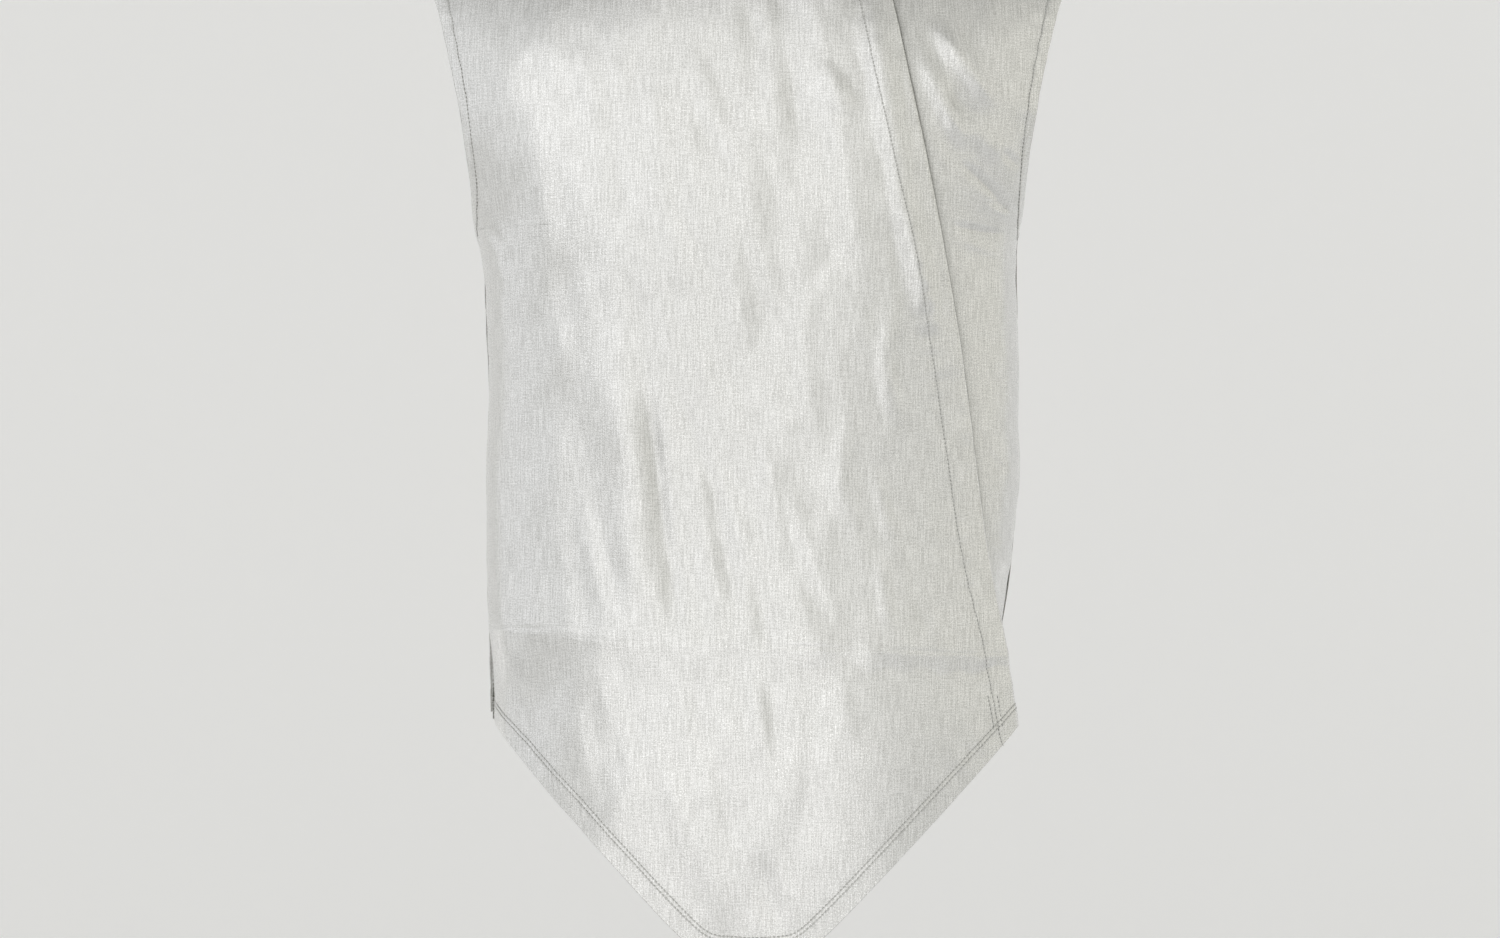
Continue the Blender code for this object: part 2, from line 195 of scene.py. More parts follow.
def formPoint(side, angle, z):
    # the body side of the cloth at an angle from the middle of the front or back, and a height
    power = form["squareness"]
    sine, cosine = np.sin(angle), np.cos(angle)
    across = np.abs(sine / formHalf(side, angle > 0, z)) ** power
    deep = np.abs(cosine / sectionAt(z, side["depth"])) ** power
    radius = (across + deep) ** (-1 / power)
    x = radius * sine
    below = np.clip((shoulderZ(x) - z) / side["round"], 0, 1)
    cap = np.sqrt(1 - (1 - below) ** 2)
    y = side["way"] * (radius * np.maximum(cosine, 0) * cap + form["seamGap"] / 2)
    return np.stack([x, y, z + 0 * x], axis=-1)


def formNormal(side, points):
    x, z = points[..., 0], points[..., 2]
    angle = formAngle(side, x, z)
    here = formPoint(side, angle, z)
    across = here - formPoint(side, angle - 0.004, z)
    up = here - formPoint(side, angle, z - 0.0005)
    normal = np.cross(across, up) * -side["way"]
    return normal / np.linalg.norm(normal, axis=-1, keepdims=True)


def panelEdge(side, z, way):
    # the side seam below the armhole and the armhole above it, as an angle
    up = np.clip((z - form["armpitZ"]) / form["armholeFoot"], 0, 1)
    foot = np.sqrt(up * (2 - up))
    return way * (math.pi / 2 - foot * (math.pi / 2 - np.abs(formAngle(side, way * armholeX(z), z))))


def clothLength(side, angle, z):
    # the distance round the form from its middle, which is the weave's own coordinate
    turns = np.linspace(0, 1, 48).reshape((-1,) + (1,) * np.ndim(angle))
    points = formPoint(side, angle * turns, z + 0 * turns)
    length = np.linalg.norm(np.diff(points, axis=0), axis=-1).sum(0)
    return np.sign(angle) * length


# Grids of points for the panels. Steps are finer beside an edge, for its hem and stitching.
meshSteps = {
    "edgeStep": 0.0008,
    "openStep": 0.0031,
    "edgeReach": 0.0060,
    "lowSplitZ": -0.530,
    "topSplitZ": -0.160,
    "armpitCrowding": 1.35,
}


def stepShares(length, fineStart=False, fineEnd=False):
    # shares from 0 to 1 whose steps are short at the ends asked for
    place = np.linspace(0, length, 2000)
    wide, edge, reach = meshSteps["openStep"], meshSteps["edgeStep"], meshSteps["edgeReach"]
    extra = fineStart * np.exp(-place / reach) + fineEnd * np.exp(-(length - place) / reach)
    density = 1 / wide + (1 / edge - 1 / wide) * extra
    count = np.concatenate(([0], np.cumsum((density[1:] + density[:-1]) / 2 * np.diff(place))))
    marks = np.linspace(0, count[-1], max(2, round(count[-1])) + 1)
    return np.interp(marks, count, place) / length


def meetingZ(side, angleAt, columns, edgeZ):
    z = np.full(columns, -0.4)
    for _ in range(60):
        z = (z + edgeZ(formPoint(side, angleAt(z), z)[..., 0])) / 2
    return z


def shareAtTop(side, first, last, x):
    # the share between two side lines whose top end lies at this x
    shares = np.linspace(0, 1, 400)
    z = np.full(400, -0.05)
    for _ in range(60):
        angle = first(z) + (last(z) - first(z)) * shares
        z = (z + topZ(formPoint(side, angle, z)[..., 0], side)) / 2
    return float(np.interp(x, formPoint(side, angle, z)[..., 0], shares))


def lowSplitZ(x):
    return meshSteps["lowSplitZ"] + 0 * x


def panelGrid(side, angleAt, columns, hemZ, rowShares, splitZ=lowSplitZ):
    # rows from hem to top, in four parts that meet at a low line, the armpit and a top line
    low = meetingZ(side, angleAt, columns, hemZ)
    split = meetingZ(side, angleAt, columns, splitZ)
    high = meetingZ(side, angleAt, columns, lambda x: topZ(x, side))
    marks = (low, split, form["armpitZ"], meshSteps["topSplitZ"], high)
    parts = []
    for fromZ, toZ, shares in zip(marks, marks[1:], rowShares):
        if np.ndim(fromZ) == 0 and fromZ == form["armpitZ"]:
            z = fromZ + (toZ - fromZ) * (shares ** meshSteps["armpitCrowding"])[:, None] + np.zeros(columns)
            parts.append(formPoint(side, angleAt(z), z)[:-1])
            continue
        turn = np.sin(np.linspace(0, math.pi / 2, 300))[:, None]
        z = fromZ + (toZ - fromZ) * turn + np.zeros(columns)
        fine = formPoint(side, angleAt(z), z)
        step = np.linalg.norm(np.diff(fine, axis=0), axis=-1)
        length = np.concatenate((np.zeros((1, columns)), np.cumsum(step, axis=0)))
        line = np.empty((len(shares) - 1, columns, 3))
        for j in range(columns):
            place = shares[:-1] * length[-1, j]
            for k in range(3):
                line[:, j, k] = np.interp(place, length[:, j], fine[:, j, k])
        parts.append(line)
    parts.append(formPoint(side, angleAt(high), high)[None])
    return np.concatenate(parts)


def rowSteps(lengths, fineSplit=False):
    # steps for the four parts of a panel, fine at its hem and its top
    low, middle, armpit, high = lengths
    return (stepShares(low, fineStart=True, fineEnd=fineSplit), stepShares(middle, fineStart=fineSplit),
            stepShares(armpit), stepShares(high, fineEnd=True))


def gridNormals(grid):
    across = np.gradient(grid, axis=1)
    up = np.gradient(grid, axis=0)
    normal = np.cross(across, up)
    return normal / np.linalg.norm(normal, axis=-1, keepdims=True)


def lifted(grid, side, lift):
    # the grid moved out from the body, on its own side of the side and shoulder seams
    moved = grid + formNormal(side, grid) * np.asarray(lift)[..., None]
    moved[..., 1] = side["way"] * np.maximum(side["way"] * moved[..., 1], form["seamGap"] / 2)
    return moved


# Creases are troughs (height below 0) and ridges, in millimetres:
# x0, z0, x1, z1, bow sideways, width, height
creaseFade = 2.6  # a crease fades at each end, over its length divided by this


def creaseLift(x, z, creases):
    lift = np.zeros_like(x)
    for crease in creases:
        x0, z0, x1, z1, bow, width, height = (size / 1000 for size in crease)
        length = math.hypot(x1 - x0, z1 - z0)
        alongX, alongZ = (x1 - x0) / length, (z1 - z0) / length
        along = ((x - x0) * alongX + (z - z0) * alongZ) / length
        share = np.clip(along, 0, 1)
        aside = (x - x0) * alongZ - (z - z0) * alongX - bow * np.sin(math.pi * share)
        beyond = (along - share) * length
        away = np.hypot(aside, beyond)
        ends = smoothStep(creaseFade * share) * smoothStep(creaseFade * (1 - share))
        lift += height * np.exp(-(away / width) ** 2) * ends
    return lift


def rippleLift(x, z, size, stretch, height, seed):
    # a soft uneven surface: waves in seeded directions, longer up and down the cloth by stretch
    rng = np.random.default_rng(seed)
    lift = np.zeros_like(x)
    waves = 26
    for _ in range(waves):
        turn = rng.uniform(0, math.pi)
        span = size * rng.uniform(0.6, 1.9)
        start = rng.uniform(0, 2 * math.pi)
        across, up = math.cos(turn), math.sin(turn) / stretch
        lift += np.sin((x * across + z * up) * 2 * math.pi / span + start)
    return height * lift / math.sqrt(waves / 2)


def nearLine(points, line):
    # each point's distance from a line, and the place along the line that it is nearest
    best = np.full(points.shape[:-1], 1e9)
    place = np.zeros(points.shape[:-1])
    run = 0.0
    for a, b in zip(line, line[1:]):
        length = float(np.linalg.norm(b - a))
        if length < 1e-7:
            continue
        toB = (b - a) / length
        along = np.clip((points - a) @ toB, 0, length)
        away = np.linalg.norm(points - a - along[..., None] * toB, axis=-1)
        closer = away < best
        best[closer] = away[closer]
        place[closer] = run + along[closer]
        run += length
    return best, place


# How sewn edges shape the cloth. Distances are from the edge.
sewing = {
    "riseWidth": 0.0016,
    "grooveWidth": 0.0013,
    "waveSpans": (0.021, 0.047, 0.090),  # the puckers' spacing is uneven over these
    "strengthSpan": 0.035,
    "belowArmpit": 0.012,   # where the side seam's stitches start
}

hemKinds = {
    "armhole": {"band": 0.0095, "rise": 0.0004, "groove": 0.0003, "stitches": (0.0090,), "pitch": 0.0170,
                "pucker": 0.00042, "reach": 0.0085},
    "hem": {"band": 0.0150, "rise": 0.00015, "groove": 0.00012, "stitches": (0.0122, 0.0150), "pitch": 0.0210,
            "pucker": 0.00020, "reach": 0.0080},
    "flap": {"band": 0.0046, "rise": 0.0, "groove": 0.0, "stitches": (), "pitch": 0.0230,
             "pucker": 0.00025, "reach": 0.0060},
    "flapTape": {"band": 0.0230, "rise": 0.0, "groove": 0.0002, "stitches": (0.0230,), "pitch": 0.0150,
                 "pucker": 0.00035, "reach": 0.0070},
    "seam": {"band": 0.0050, "rise": 0.0005, "groove": 0.0003, "stitches": (0.0052,), "pitch": 0.0260,
             "pucker": 0.00025, "reach": 0.0070},
    "collarEdge": {"band": 0.0048, "rise": 0.0003, "groove": 0.0002, "stitches": (0.0048,), "pitch": 0.0180,
                   "pucker": 0.00016, "reach": 0.0050},
}


def sewnEdge(grid, line, kind, seed):
    # the lift that a sewn edge gives, and each point's distance from that edge
    hem = hemKinds[kind]
    away, place = nearLine(grid, line)
    rng = np.random.default_rng(seed)
    shift = 0
    for span in sewing["waveSpans"]:
        shift = shift + rng.uniform(0.3, 0.7) * np.sin(place / span + rng.uniform(0, 6.28))
    wave = np.sin(2 * math.pi * place / hem["pitch"] + 1.3 * shift)
    strength = 0.55 + 0.45 * np.sin(place / sewing["strengthSpan"] + rng.uniform(0, 6.28))
    near = np.exp(-((away - hem["band"]) / hem["reach"]) ** 2)
    lift = hem["rise"] * smoothStep((hem["band"] - away) / sewing["riseWidth"] + 0.5)
    lift -= hem["groove"] * np.exp(-((away - hem["band"]) / sewing["grooveWidth"]) ** 2)
    lift += hem["pucker"] * strength * wave * near
    return lift, away


def levelLine(grid, away, level, byRow, fromEnd=False):
    # the line on a grid at this distance from an edge: one point for each row, or for each column
    field = away if byRow else away.T
    points = grid if byRow else grid.transpose(1, 0, 2)
    found = []
    for values, line in zip(field, points):
        if fromEnd:
            values, line = values[::-1], line[::-1]
        inside = values >= level
        if inside[0] or not inside.any():
            continue
        i = int(np.argmax(inside))
        share = (level - values[i - 1]) / (values[i] - values[i - 1])
        found.append(line[i - 1] + (line[i] - line[i - 1]) * share)
    return np.array(found)


# Materials
def makeGroup(name, inputs, outputs):
    group = bpy.data.node_groups.new(name, "ShaderNodeTree")
    for label, kind, value in inputs:
        socket = group.interface.new_socket(name=label, in_out="INPUT", socket_type=kind)
        if value is not None:
            socket.default_value = value
    for label, kind in outputs:
        group.interface.new_socket(name=label, in_out="OUTPUT", socket_type=kind)
    return group, group.nodes.new("NodeGroupInput"), group.nodes.new("NodeGroupOutput")


def mathNode(tree, operation, a, b=None, c=None):
    node = tree.nodes.new("ShaderNodeMath")
    node.operation = operation
    for socket, value in zip(node.inputs, (a, b, c)):
        if value is None:
            continue
        if isinstance(value, (int, float)):
            socket.default_value = value
        else:
            tree.links.new(value, socket)
    return node.outputs[0]


def stretchedNoise(tree, vector, scale, detail, roughness=0.5):
    place = tree.nodes.new("ShaderNodeMapping")
    place.inputs["Scale"].default_value = scale
    tree.links.new(vector, place.inputs["Vector"])
    noise = tree.nodes.new("ShaderNodeTexNoise")
    noise.inputs["Scale"].default_value = 1.0
    noise.inputs["Detail"].default_value = detail
    noise.inputs["Roughness"].default_value = roughness
    tree.links.new(place.outputs["Vector"], noise.inputs["Vector"])
    return noise.outputs["Fac"]


def remap(tree, value, low, high, toLow=0.0, toHigh=1.0):
    node = tree.nodes.new("ShaderNodeMapRange")
    node.inputs["From Min"].default_value = low
    node.inputs["From Max"].default_value = high
    node.inputs["To Min"].default_value = toLow
    node.inputs["To Max"].default_value = toHigh
    tree.links.new(value, node.inputs["Value"])
    return node.outputs["Result"]


weaveLook = {
    "warpWidth": 0.0008,   # upright threads
    "warpRun": 0.019,
    "weftWidth": 0.0008,   # level threads
    "weftRun": 0.012,
    "speckSize": 0.0011,
    "patchWidth": 0.0034,  # uneven tension in the weave
    "patchRun": 0.0080,
    "warpRange": (0.40, 0.61),
    "weftRange": (0.38, 0.64),
    "speckRange": (0.41, 0.60),
    "warpShare": 0.64,
    "weftShare": 0.36,
}


def weaveGroup():
    # threads, specks and uneven patches of a plain metal weave, from the cloth's own coordinates
    group, into, out = makeGroup(
        "metalWeave",
        [("Vector", "NodeSocketVector", None), ("Thread Height", "NodeSocketFloat", 1.0),
         ("Speck Height", "NodeSocketFloat", 1.0), ("Patch Height", "NodeSocketFloat", 1.0)],
        [("Shade", "NodeSocketFloat"), ("Speck", "NodeSocketFloat"), ("Height", "NodeSocketFloat")])
    vector = into.outputs["Vector"]
    look = weaveLook
    warp = stretchedNoise(group, vector, (1 / look["warpWidth"], 1 / look["warpRun"], 1), 1.0)
    weft = stretchedNoise(group, vector, (1 / look["weftRun"], 1 / look["weftWidth"], 1), 1.0)
    speck = stretchedNoise(group, vector, (1 / look["speckSize"], 1 / look["speckSize"], 1), 2.0, 0.7)
    patch = stretchedNoise(group, vector, (1 / look["patchWidth"], 1 / look["patchRun"], 1), 3.0, 0.6)
    warpLine = remap(group, warp, *look["warpRange"])
    weftLine = remap(group, weft, *look["weftRange"])
    speckDot = remap(group, speck, *look["speckRange"])
    threads = mathNode(group, "ADD", mathNode(group, "MULTIPLY", warpLine, look["warpShare"]),
                       mathNode(group, "MULTIPLY", weftLine, look["weftShare"]))
    group.links.new(threads, out.inputs["Shade"])
    group.links.new(speckDot, out.inputs["Speck"])
    threadHeight = mathNode(group, "MULTIPLY", threads, into.outputs["Thread Height"])
    speckHeight = mathNode(group, "MULTIPLY", speckDot, into.outputs["Speck Height"])
    patchHeight = mathNode(group, "MULTIPLY", patch, into.outputs["Patch Height"])
    height = mathNode(group, "ADD", mathNode(group, "ADD", threadHeight, speckHeight), patchHeight)
    group.links.new(height, out.inputs["Height"])
    return group


def newMaterial(name):
    made = bpy.data.materials.new(name)
    made.use_nodes = True
    made.node_tree.nodes.clear()
    tree = made.node_tree
    shader = tree.nodes.new("ShaderNodeBsdfPrincipled")
    output = tree.nodes.new("ShaderNodeOutputMaterial")
    tree.links.new(shader.outputs["BSDF"], output.inputs["Surface"])
    return made, tree, shader


def mixColour(tree, share, low, high):
    node = tree.nodes.new("ShaderNodeMix")
    node.data_type = "RGBA"
    tree.links.new(share, node.inputs["Factor"])
    node.inputs["A"].default_value = (*low, 1)
    node.inputs["B"].default_value = (*high, 1)
    return node.outputs["Result"]


def addBump(tree, shader, height, strength, distance):
    bump = tree.nodes.new("ShaderNodeBump")
    bump.inputs["Strength"].default_value = strength
    bump.inputs["Distance"].default_value = distance
    tree.links.new(height, bump.inputs["Height"])
    tree.links.new(bump.outputs["Normal"], shader.inputs["Normal"])


def weaveNode(tree, weave):
    # the weave on the cloth's own coordinates
    coords = tree.nodes.new("ShaderNodeUVMap")
    coords.uv_map = "weave"
    cloth = tree.nodes.new("ShaderNodeGroup")
    cloth.node_tree = weave
    tree.links.new(coords.outputs["UV"], cloth.inputs["Vector"])
    return cloth


metalClothLook = {
    "dark": (0.585, 0.585, 0.570),
    "light": (0.985, 0.984, 0.976),
    # painted shade: ambient occlusion over shadeReach darkens the cloth's colour towards the painted shadow
    # colour
    "paintedShadow": (0.10, 0.10, 0.08),  # painted shadow colour: beside another layer's edge, in creases and at stitches
    "shadeReach": 0.018,
    "shadeRange": (0.58, 0.945),
    "shadeSamples": 6,
    "threadShade": 0.52,
    "speckShade": 0.48,
    "heights": {"Thread Height": 0.03, "Speck Height": 0.19, "Patch Height": 0.30},
    "metallic": 0.94,
    "roughness": (0.05, 0.19),
    "bumpDistance": 0.00020,
}


def metalClothMaterial(weave):
    look = metalClothLook
    made, tree, shader = newMaterial("metalCloth")
    cloth = weaveNode(tree, weave)
    for label, height in look["heights"].items():
        cloth.inputs[label].default_value = height
    shade = mathNode(tree, "ADD", mathNode(tree, "MULTIPLY", cloth.outputs["Shade"], look["threadShade"]),
                     mathNode(tree, "MULTIPLY", cloth.outputs["Speck"], look["speckShade"]))
    # painted shadow: where ambient occlusion finds other cloth near, beside the free edge, in creases and at
    # stitches, the colour is darkened
    paintedShadeOcclusion = tree.nodes.new("ShaderNodeAmbientOcclusion")
    paintedShadeOcclusion.samples = look["shadeSamples"]
    paintedShadeOcclusion.inputs["Distance"].default_value = look["shadeReach"]
    unshadedShare = remap(tree, paintedShadeOcclusion.outputs["AO"], *look["shadeRange"])
    paintedShadow = mixColour(tree, unshadedShare, look["paintedShadow"], (1, 1, 1))
    plain = mixColour(tree, shade, look["dark"], look["light"])
    # the cloth's colour multiplied by the painted shadow
    toned = tree.nodes.new("ShaderNodeMix")
    toned.data_type = "RGBA"
    toned.blend_type = "MULTIPLY"
    toned.inputs["Factor"].default_value = 1.0
    tree.links.new(plain, toned.inputs["A"])
    tree.links.new(paintedShadow, toned.inputs["B"])
    tree.links.new(toned.outputs["Result"], shader.inputs["Base Color"])
    smooth, dull = look["roughness"]
    rough = remap(tree, cloth.outputs["Speck"], 0.1, 0.9, dull, smooth)
    tree.links.new(rough, shader.inputs["Roughness"])
    shader.inputs["Metallic"].default_value = look["metallic"]
    addBump(tree, shader, cloth.outputs["Height"], 1.0, look["bumpDistance"])
    return made


liningLook = {
    "dark": (0.56, 0.565, 0.56),
    "light": (0.70, 0.705, 0.70),
    "roughness": 0.82,
    "bump": (0.8, 0.00012),  # strength and distance
}


def liningMaterial(weave):
    look = liningLook
    made, tree, shader = newMaterial("insideOfCloth")
    cloth = weaveNode(tree, weave)
    toned = mixColour(tree, cloth.outputs["Shade"], look["dark"], look["light"])
    tree.links.new(toned, shader.inputs["Base Color"])
    shader.inputs["Roughness"].default_value = look["roughness"]
    addBump(tree, shader, cloth.outputs["Height"], *look["bump"])
    return made


threadLook = {
    "dark": (0.60, 0.60, 0.58),
    "light": (0.80, 0.80, 0.78),
    "grain": 0.0006,        # the thread's twist
    "detail": 1.0,
    "grainRoughness": 0.5,
    "range": (0.35, 0.65),
    "roughness": 0.55,
    "bump": (0.6, 0.0001),
}

tapeLook = {
    "dark": (0.50, 0.51, 0.49),
    "light": (0.66, 0.67, 0.65),
    "grain": 0.0009,        # the tape's loops
    "detail": 2.0,
    "grainRoughness": 0.7,
    "range": (0.3, 0.7),
    "roughness": 0.9,
    "bump": (1.0, 0.0006),
}


def grainMaterial(name, look):
    made, tree, shader = newMaterial(name)
    coords = tree.nodes.new("ShaderNodeTexCoord")
    scale = (1 / look["grain"],) * 3
    noise = stretchedNoise(tree, coords.outputs["Object"], scale, look["detail"], look["grainRoughness"])
    toned = mixColour(tree, remap(tree, noise, *look["range"]), look["dark"], look["light"])
    tree.links.new(toned, shader.inputs["Base Color"])
    shader.inputs["Roughness"].default_value = look["roughness"]
    addBump(tree, shader, noise, *look["bump"])
    return made


weave = weaveGroup()
metalCloth = metalClothMaterial(weave)
insideOfCloth = liningMaterial(weave)
sewingThread = grainMaterial("sewingThread", threadLook)
fasteningTape = grainMaterial("fasteningTape", tapeLook)
print("materials made")


# Cloth shells
rimRound = 0.00035  # how far an open edge bulges
seamReach = 0.0006  # cloth this near the plane of the side and shoulder seams is at a seam


def clothShell(name, inner, weaveUv, thickness):
    # the grid is the body side. The outer side, and a rounded rim along the open edges, are added to it.
    rows, columns = inner.shape[:2]
    outer = inner + gridNormals(inner) * thickness
    seam = np.abs(inner[..., 1]) < seamReach
    nearSeam = np.where(inner[..., 1] < 0, -1, 1) * form["seamGap"] / 2
    outer[..., 1] = np.where(seam, nearSeam, outer[..., 1])
    rim = [(0, j) for j in range(columns)] + [(i, columns - 1) for i in range(1, rows)]
    rim += [(rows - 1, j) for j in range(columns - 2, -1, -1)] + [(i, 0) for i in range(rows - 2, 0, -1)]
    at = np.array(rim)
    inward = np.clip(at, 1, (rows - 2, columns - 2))
    innerRim, outerRim = inner[at[:, 0], at[:, 1]], outer[at[:, 0], at[:, 1]]
    away = innerRim - inner[inward[:, 0], inward[:, 1]]
    away /= np.linalg.norm(away, axis=-1, keepdims=True)
    bulge = np.where(seam[at[:, 0], at[:, 1]], 0.0, rimRound)[:, None]
    middle = (innerRim + outerRim) / 2 + away * bulge

    count = rows * columns
    vertices = np.concatenate([inner.reshape(-1, 3), outer.reshape(-1, 3), middle])
    i, j = np.meshgrid(np.arange(rows - 1), np.arange(columns - 1), indexing="ij")
    corner = (i * columns + j).ravel()
    quad = np.stack([corner, corner + 1, corner + 1 + columns, corner + columns], axis=1)
    flat = at[:, 0] * columns + at[:, 1]
    after = np.roll(flat, -1)
    mid = 2 * count + np.arange(len(at))
    midAfter = np.roll(mid, -1)
    innerStrip = np.stack([flat, after, midAfter, mid], axis=1)
    outerStrip = np.stack([mid, midAfter, after + count, flat + count], axis=1)
    faces = np.concatenate([quad + count, quad[:, ::-1], innerStrip, outerStrip])
    slots = np.concatenate([np.zeros(len(quad)), np.ones(len(quad)), np.zeros(2 * len(at))])

    mesh = bpy.data.meshes.new(name)
    mesh.from_pydata(vertices.tolist(), [], faces.tolist())
    mesh.polygons.foreach_set("material_index", slots.astype(np.int32))
    flatUv = weaveUv.reshape(-1, 2)
    allUv = np.concatenate([flatUv, flatUv, weaveUv[at[:, 0], at[:, 1]]])
    layer = mesh.uv_layers.new(name="weave")
    layer.data.foreach_set("uv", allUv[faces.ravel()].astype(np.float32).ravel())
    mesh.materials.append(metalCloth)
    mesh.materials.append(insideOfCloth)
    mesh.shade_smooth()
    mesh.update()
    made = bpy.data.objects.new(name, mesh)
    bpy.context.scene.collection.objects.link(made)
    area = sum(p.area for p in mesh.polygons) / 2
    print(f"{name}: {rows} x {columns} points, {len(faces) * 2} triangles, {area:.4f} square metres a side")
    return made, outer


def weaveCoords(side, grid, angle):
    return np.stack([clothLength(side, angle, grid[..., 2]), grid[..., 2]], axis=-1)


stitchRuns = []  # (points, outward normals)


def addStitches(outer, away, level, byRow, fromEnd=False, keep=None):
    normals = gridNormals(outer)
    both = np.concatenate([outer, normals], axis=-1)
    line = levelLine(both, away, level, byRow, fromEnd)
    if keep is not None and len(line):
        line = line[keep(line)]
    if len(line) > 3:
        stitchRuns.append((line[:, :3], line[:, 3:]))


def addStitchRows(outer, away, kind, byRow, **more):
    for level in hemKinds[kind]["stitches"]:
        addStitches(outer, away, level, byRow, **more)


def belowArmpit(line):
    return line[:, 2] < form["armpitZ"] - sewing["belowArmpit"]


# The upper front, from the right side seam to the free edge
upperFrontSizes = {
    "columnLengths": (0.150, 0.230),  # the mesh is as fine as these lengths of cloth need
    "rowLengths": (0.200, 0.294, 0.090, 0.150),
    "underlap": 0.052,
    "lapRamp": (0.170, 0.030),   # at the waist and near the top
    "lapRampZ": (-0.38, -0.26),
    "lapStand": 0.0041,
    "edgeStand": 0.0038,
    "edgeFall": 0.011,
    "edgeRoll": 0.0026,     # the folded free edge turns down
    "rollFall": 0.0013,
    "creaseRise": 0.0016,   # the packing crease stands out a little
    "creaseReach": 0.045,
    "creaseDent": (0.00008, 0.00028),   # least and most
    "creaseSpans": (0.019, 0.031),      # it deepens and fades along its length
    "creaseWidth": 0.0013,
    "lowFall": 0.0046,      # the cloth leans in below it
    "lowReach": 0.055,
    "ripple": (0.032, 2.4, 0.00034, 11),  # size, stretch, height and seed
    "bartack": (0.0190, 0.0270),    # two short rows, from the free edge
    "bartackZ": (-0.582, -0.561),
    "flatCut": (0.475, 0.790),
    "flatArea": 0.262,
}

# x and z of the level crease left by folding the vest flat
packingCrease = ((-0.170, -0.090, 0.040, 0.115, 0.180), (-0.514, -0.522, -0.5255, -0.530, -0.532))


def packingCreaseZ(x):
    return np.interp(x, *packingCrease)


upperFrontCreases = (
    # beside the free edge
    (78, -66, 108, -232, 0, 9.0, 4.4),
    (94, -185, 129, -322, 0, 7.5, 4.5),
    (85, -171, 99, -309, 0, 4.0, 0.8),
    (99, -278, 100, -378, 5.5, 6.0, 2.4),
    # upper chest
    (10, -60, 96, -166, 0, 10.0, -2.8),
    (50, -98, 70, -176, 0, 11.0, 2.6),
    (27, -123, 37, -190, 0, 8.0, -1.2),
    (34, -152, 106, -228, -4, 11.0, -2.8),
    (-46, -142, 2, -216, 3, 6.0, -0.8),
    (-41, -94, -14, -158, 0, 5.5, -0.6),
    (-4, -80, 14, -128, 0, 5.0, -0.6),
    (-132, -103, -67, -126, 0, 8.0, -0.7),
    (-170, -117, -101, -155, 0, 10.0, -1.0),
    (-140, -130, -145, -309, -2, 14.0, 1.2),
    (-97, -162, -62, -262, 4, 8.0, -0.7),
    (-74, -123, -54, -196, 0, 7.0, 0.6),
    (-60, -206, -18, -296, -3, 7.0, -0.5),
    (-18, -156, 10, -248, 2, 6.5, 0.5),
    (6, -182, 36, -270, -2, 8.0, -0.8),
    (-10, -233, 28, -325, 3, 8.0, -0.6),
    (-104, -240, -60, -315, 2, 8.0, -0.5),
    # right armpit
    (-189, -224, -167, -252, 1, 3.5, -0.9),
    (-180, -241, -162, -285, 0, 4.0, 0.7),
    (-184, -255, -156, -262, 0, 4.0, -0.5),
    # waist
    (-96, -284, -72, -542, -2, 16.0, 4.4),
    (-70, -318, -44, -532, 3, 5.5, -2.0),
    (-54, -262, -36, -350, 2, 6.0, -0.5),
    (-42, -300, -12, -412, -3, 7.0, 0.8),
    (-50, -330, -18, -436, 2, 6.5, -0.8),
    (-32, -378, 3, -480, -2, 6.0, 0.8),
    (-28, -398, -2, -510, 3, 6.5, -1.0),
    (-38, -372, -12, -446, 0, 5.0, -0.6),
    (-10, -318, 12, -432, 0, 7.0, -0.7),
    (6, -364, 24, -480, -2, 6.5, 0.8),
    (-114, -405, -91, -521, 4, 7.0, 1.2),
    (-2, -456, 17, -534, 0, 6.0, -0.8),
    (-50, -432, -64, -524, 2, 6.5, 0.9),
    (36, -309, 33, -412, 0, 10.0, 0.9),
    (25, -395, 51, -505, 0, 8.0, 1.3),
    (32, -460, 55, -518, 0, 6.0, -0.8),
    (67, -366, 62, -442, 2, 6.0, 1.6),
    (85, -400, 97, -458, 0, 5.0, 1.7),
    (88, -456, 97, -524, 0, 5.0, 1.7),
    (124, -450, 152, -494, 0, 3.5, -0.8),
    (122, -453, 114, -502, 0, 3.5, -0.7),
    (113, -487, 125, -525, 0, 3.5, -0.7),
    # packing crease
    (-169, -514, -129, -514, 0, 1.8, -0.30),
    (-90, -523, -57, -521, 0, 1.8, -0.25),
    (21, -526, 62, -525, 0, 1.8, -0.30),
    (87, -527, 142, -531, 0, 1.8, -0.30),
    # below the crease
    (-77, -535, -64, -652, 3, 7.0, -0.9),
    (-40, -530, -29, -628, 0, 6.0, -0.7),
    (-24, -572, -2, -698, 2, 7.0, -0.8),
    (-1, -535, 16, -636, -3, 6.0, 0.8),
    (-75, -626, -47, -714, 0, 6.0, -0.7),
    (-34, -640, -16, -726, 0, 7.0, 0.8),
    (22, -532, 15, -632, 2, 6.0, -0.9),
    (62, -525, 70, -606, 0, 6.0, 1.5),
    (-60, -585, -42, -678, 0, 6.0, 0.7),
    (49, -545, 30, -692, -2, 7.0, -1.3),
    (3, -659, 29, -734, 0, 8.0, -1.4),
    (-95, -562, -86, -631, 0, 7.0, -0.8),
    (141, -588, 163, -583, 0, 2.2, -0.4),
    (81, -585, 117, -600, 0, 4.0, -0.4),
)


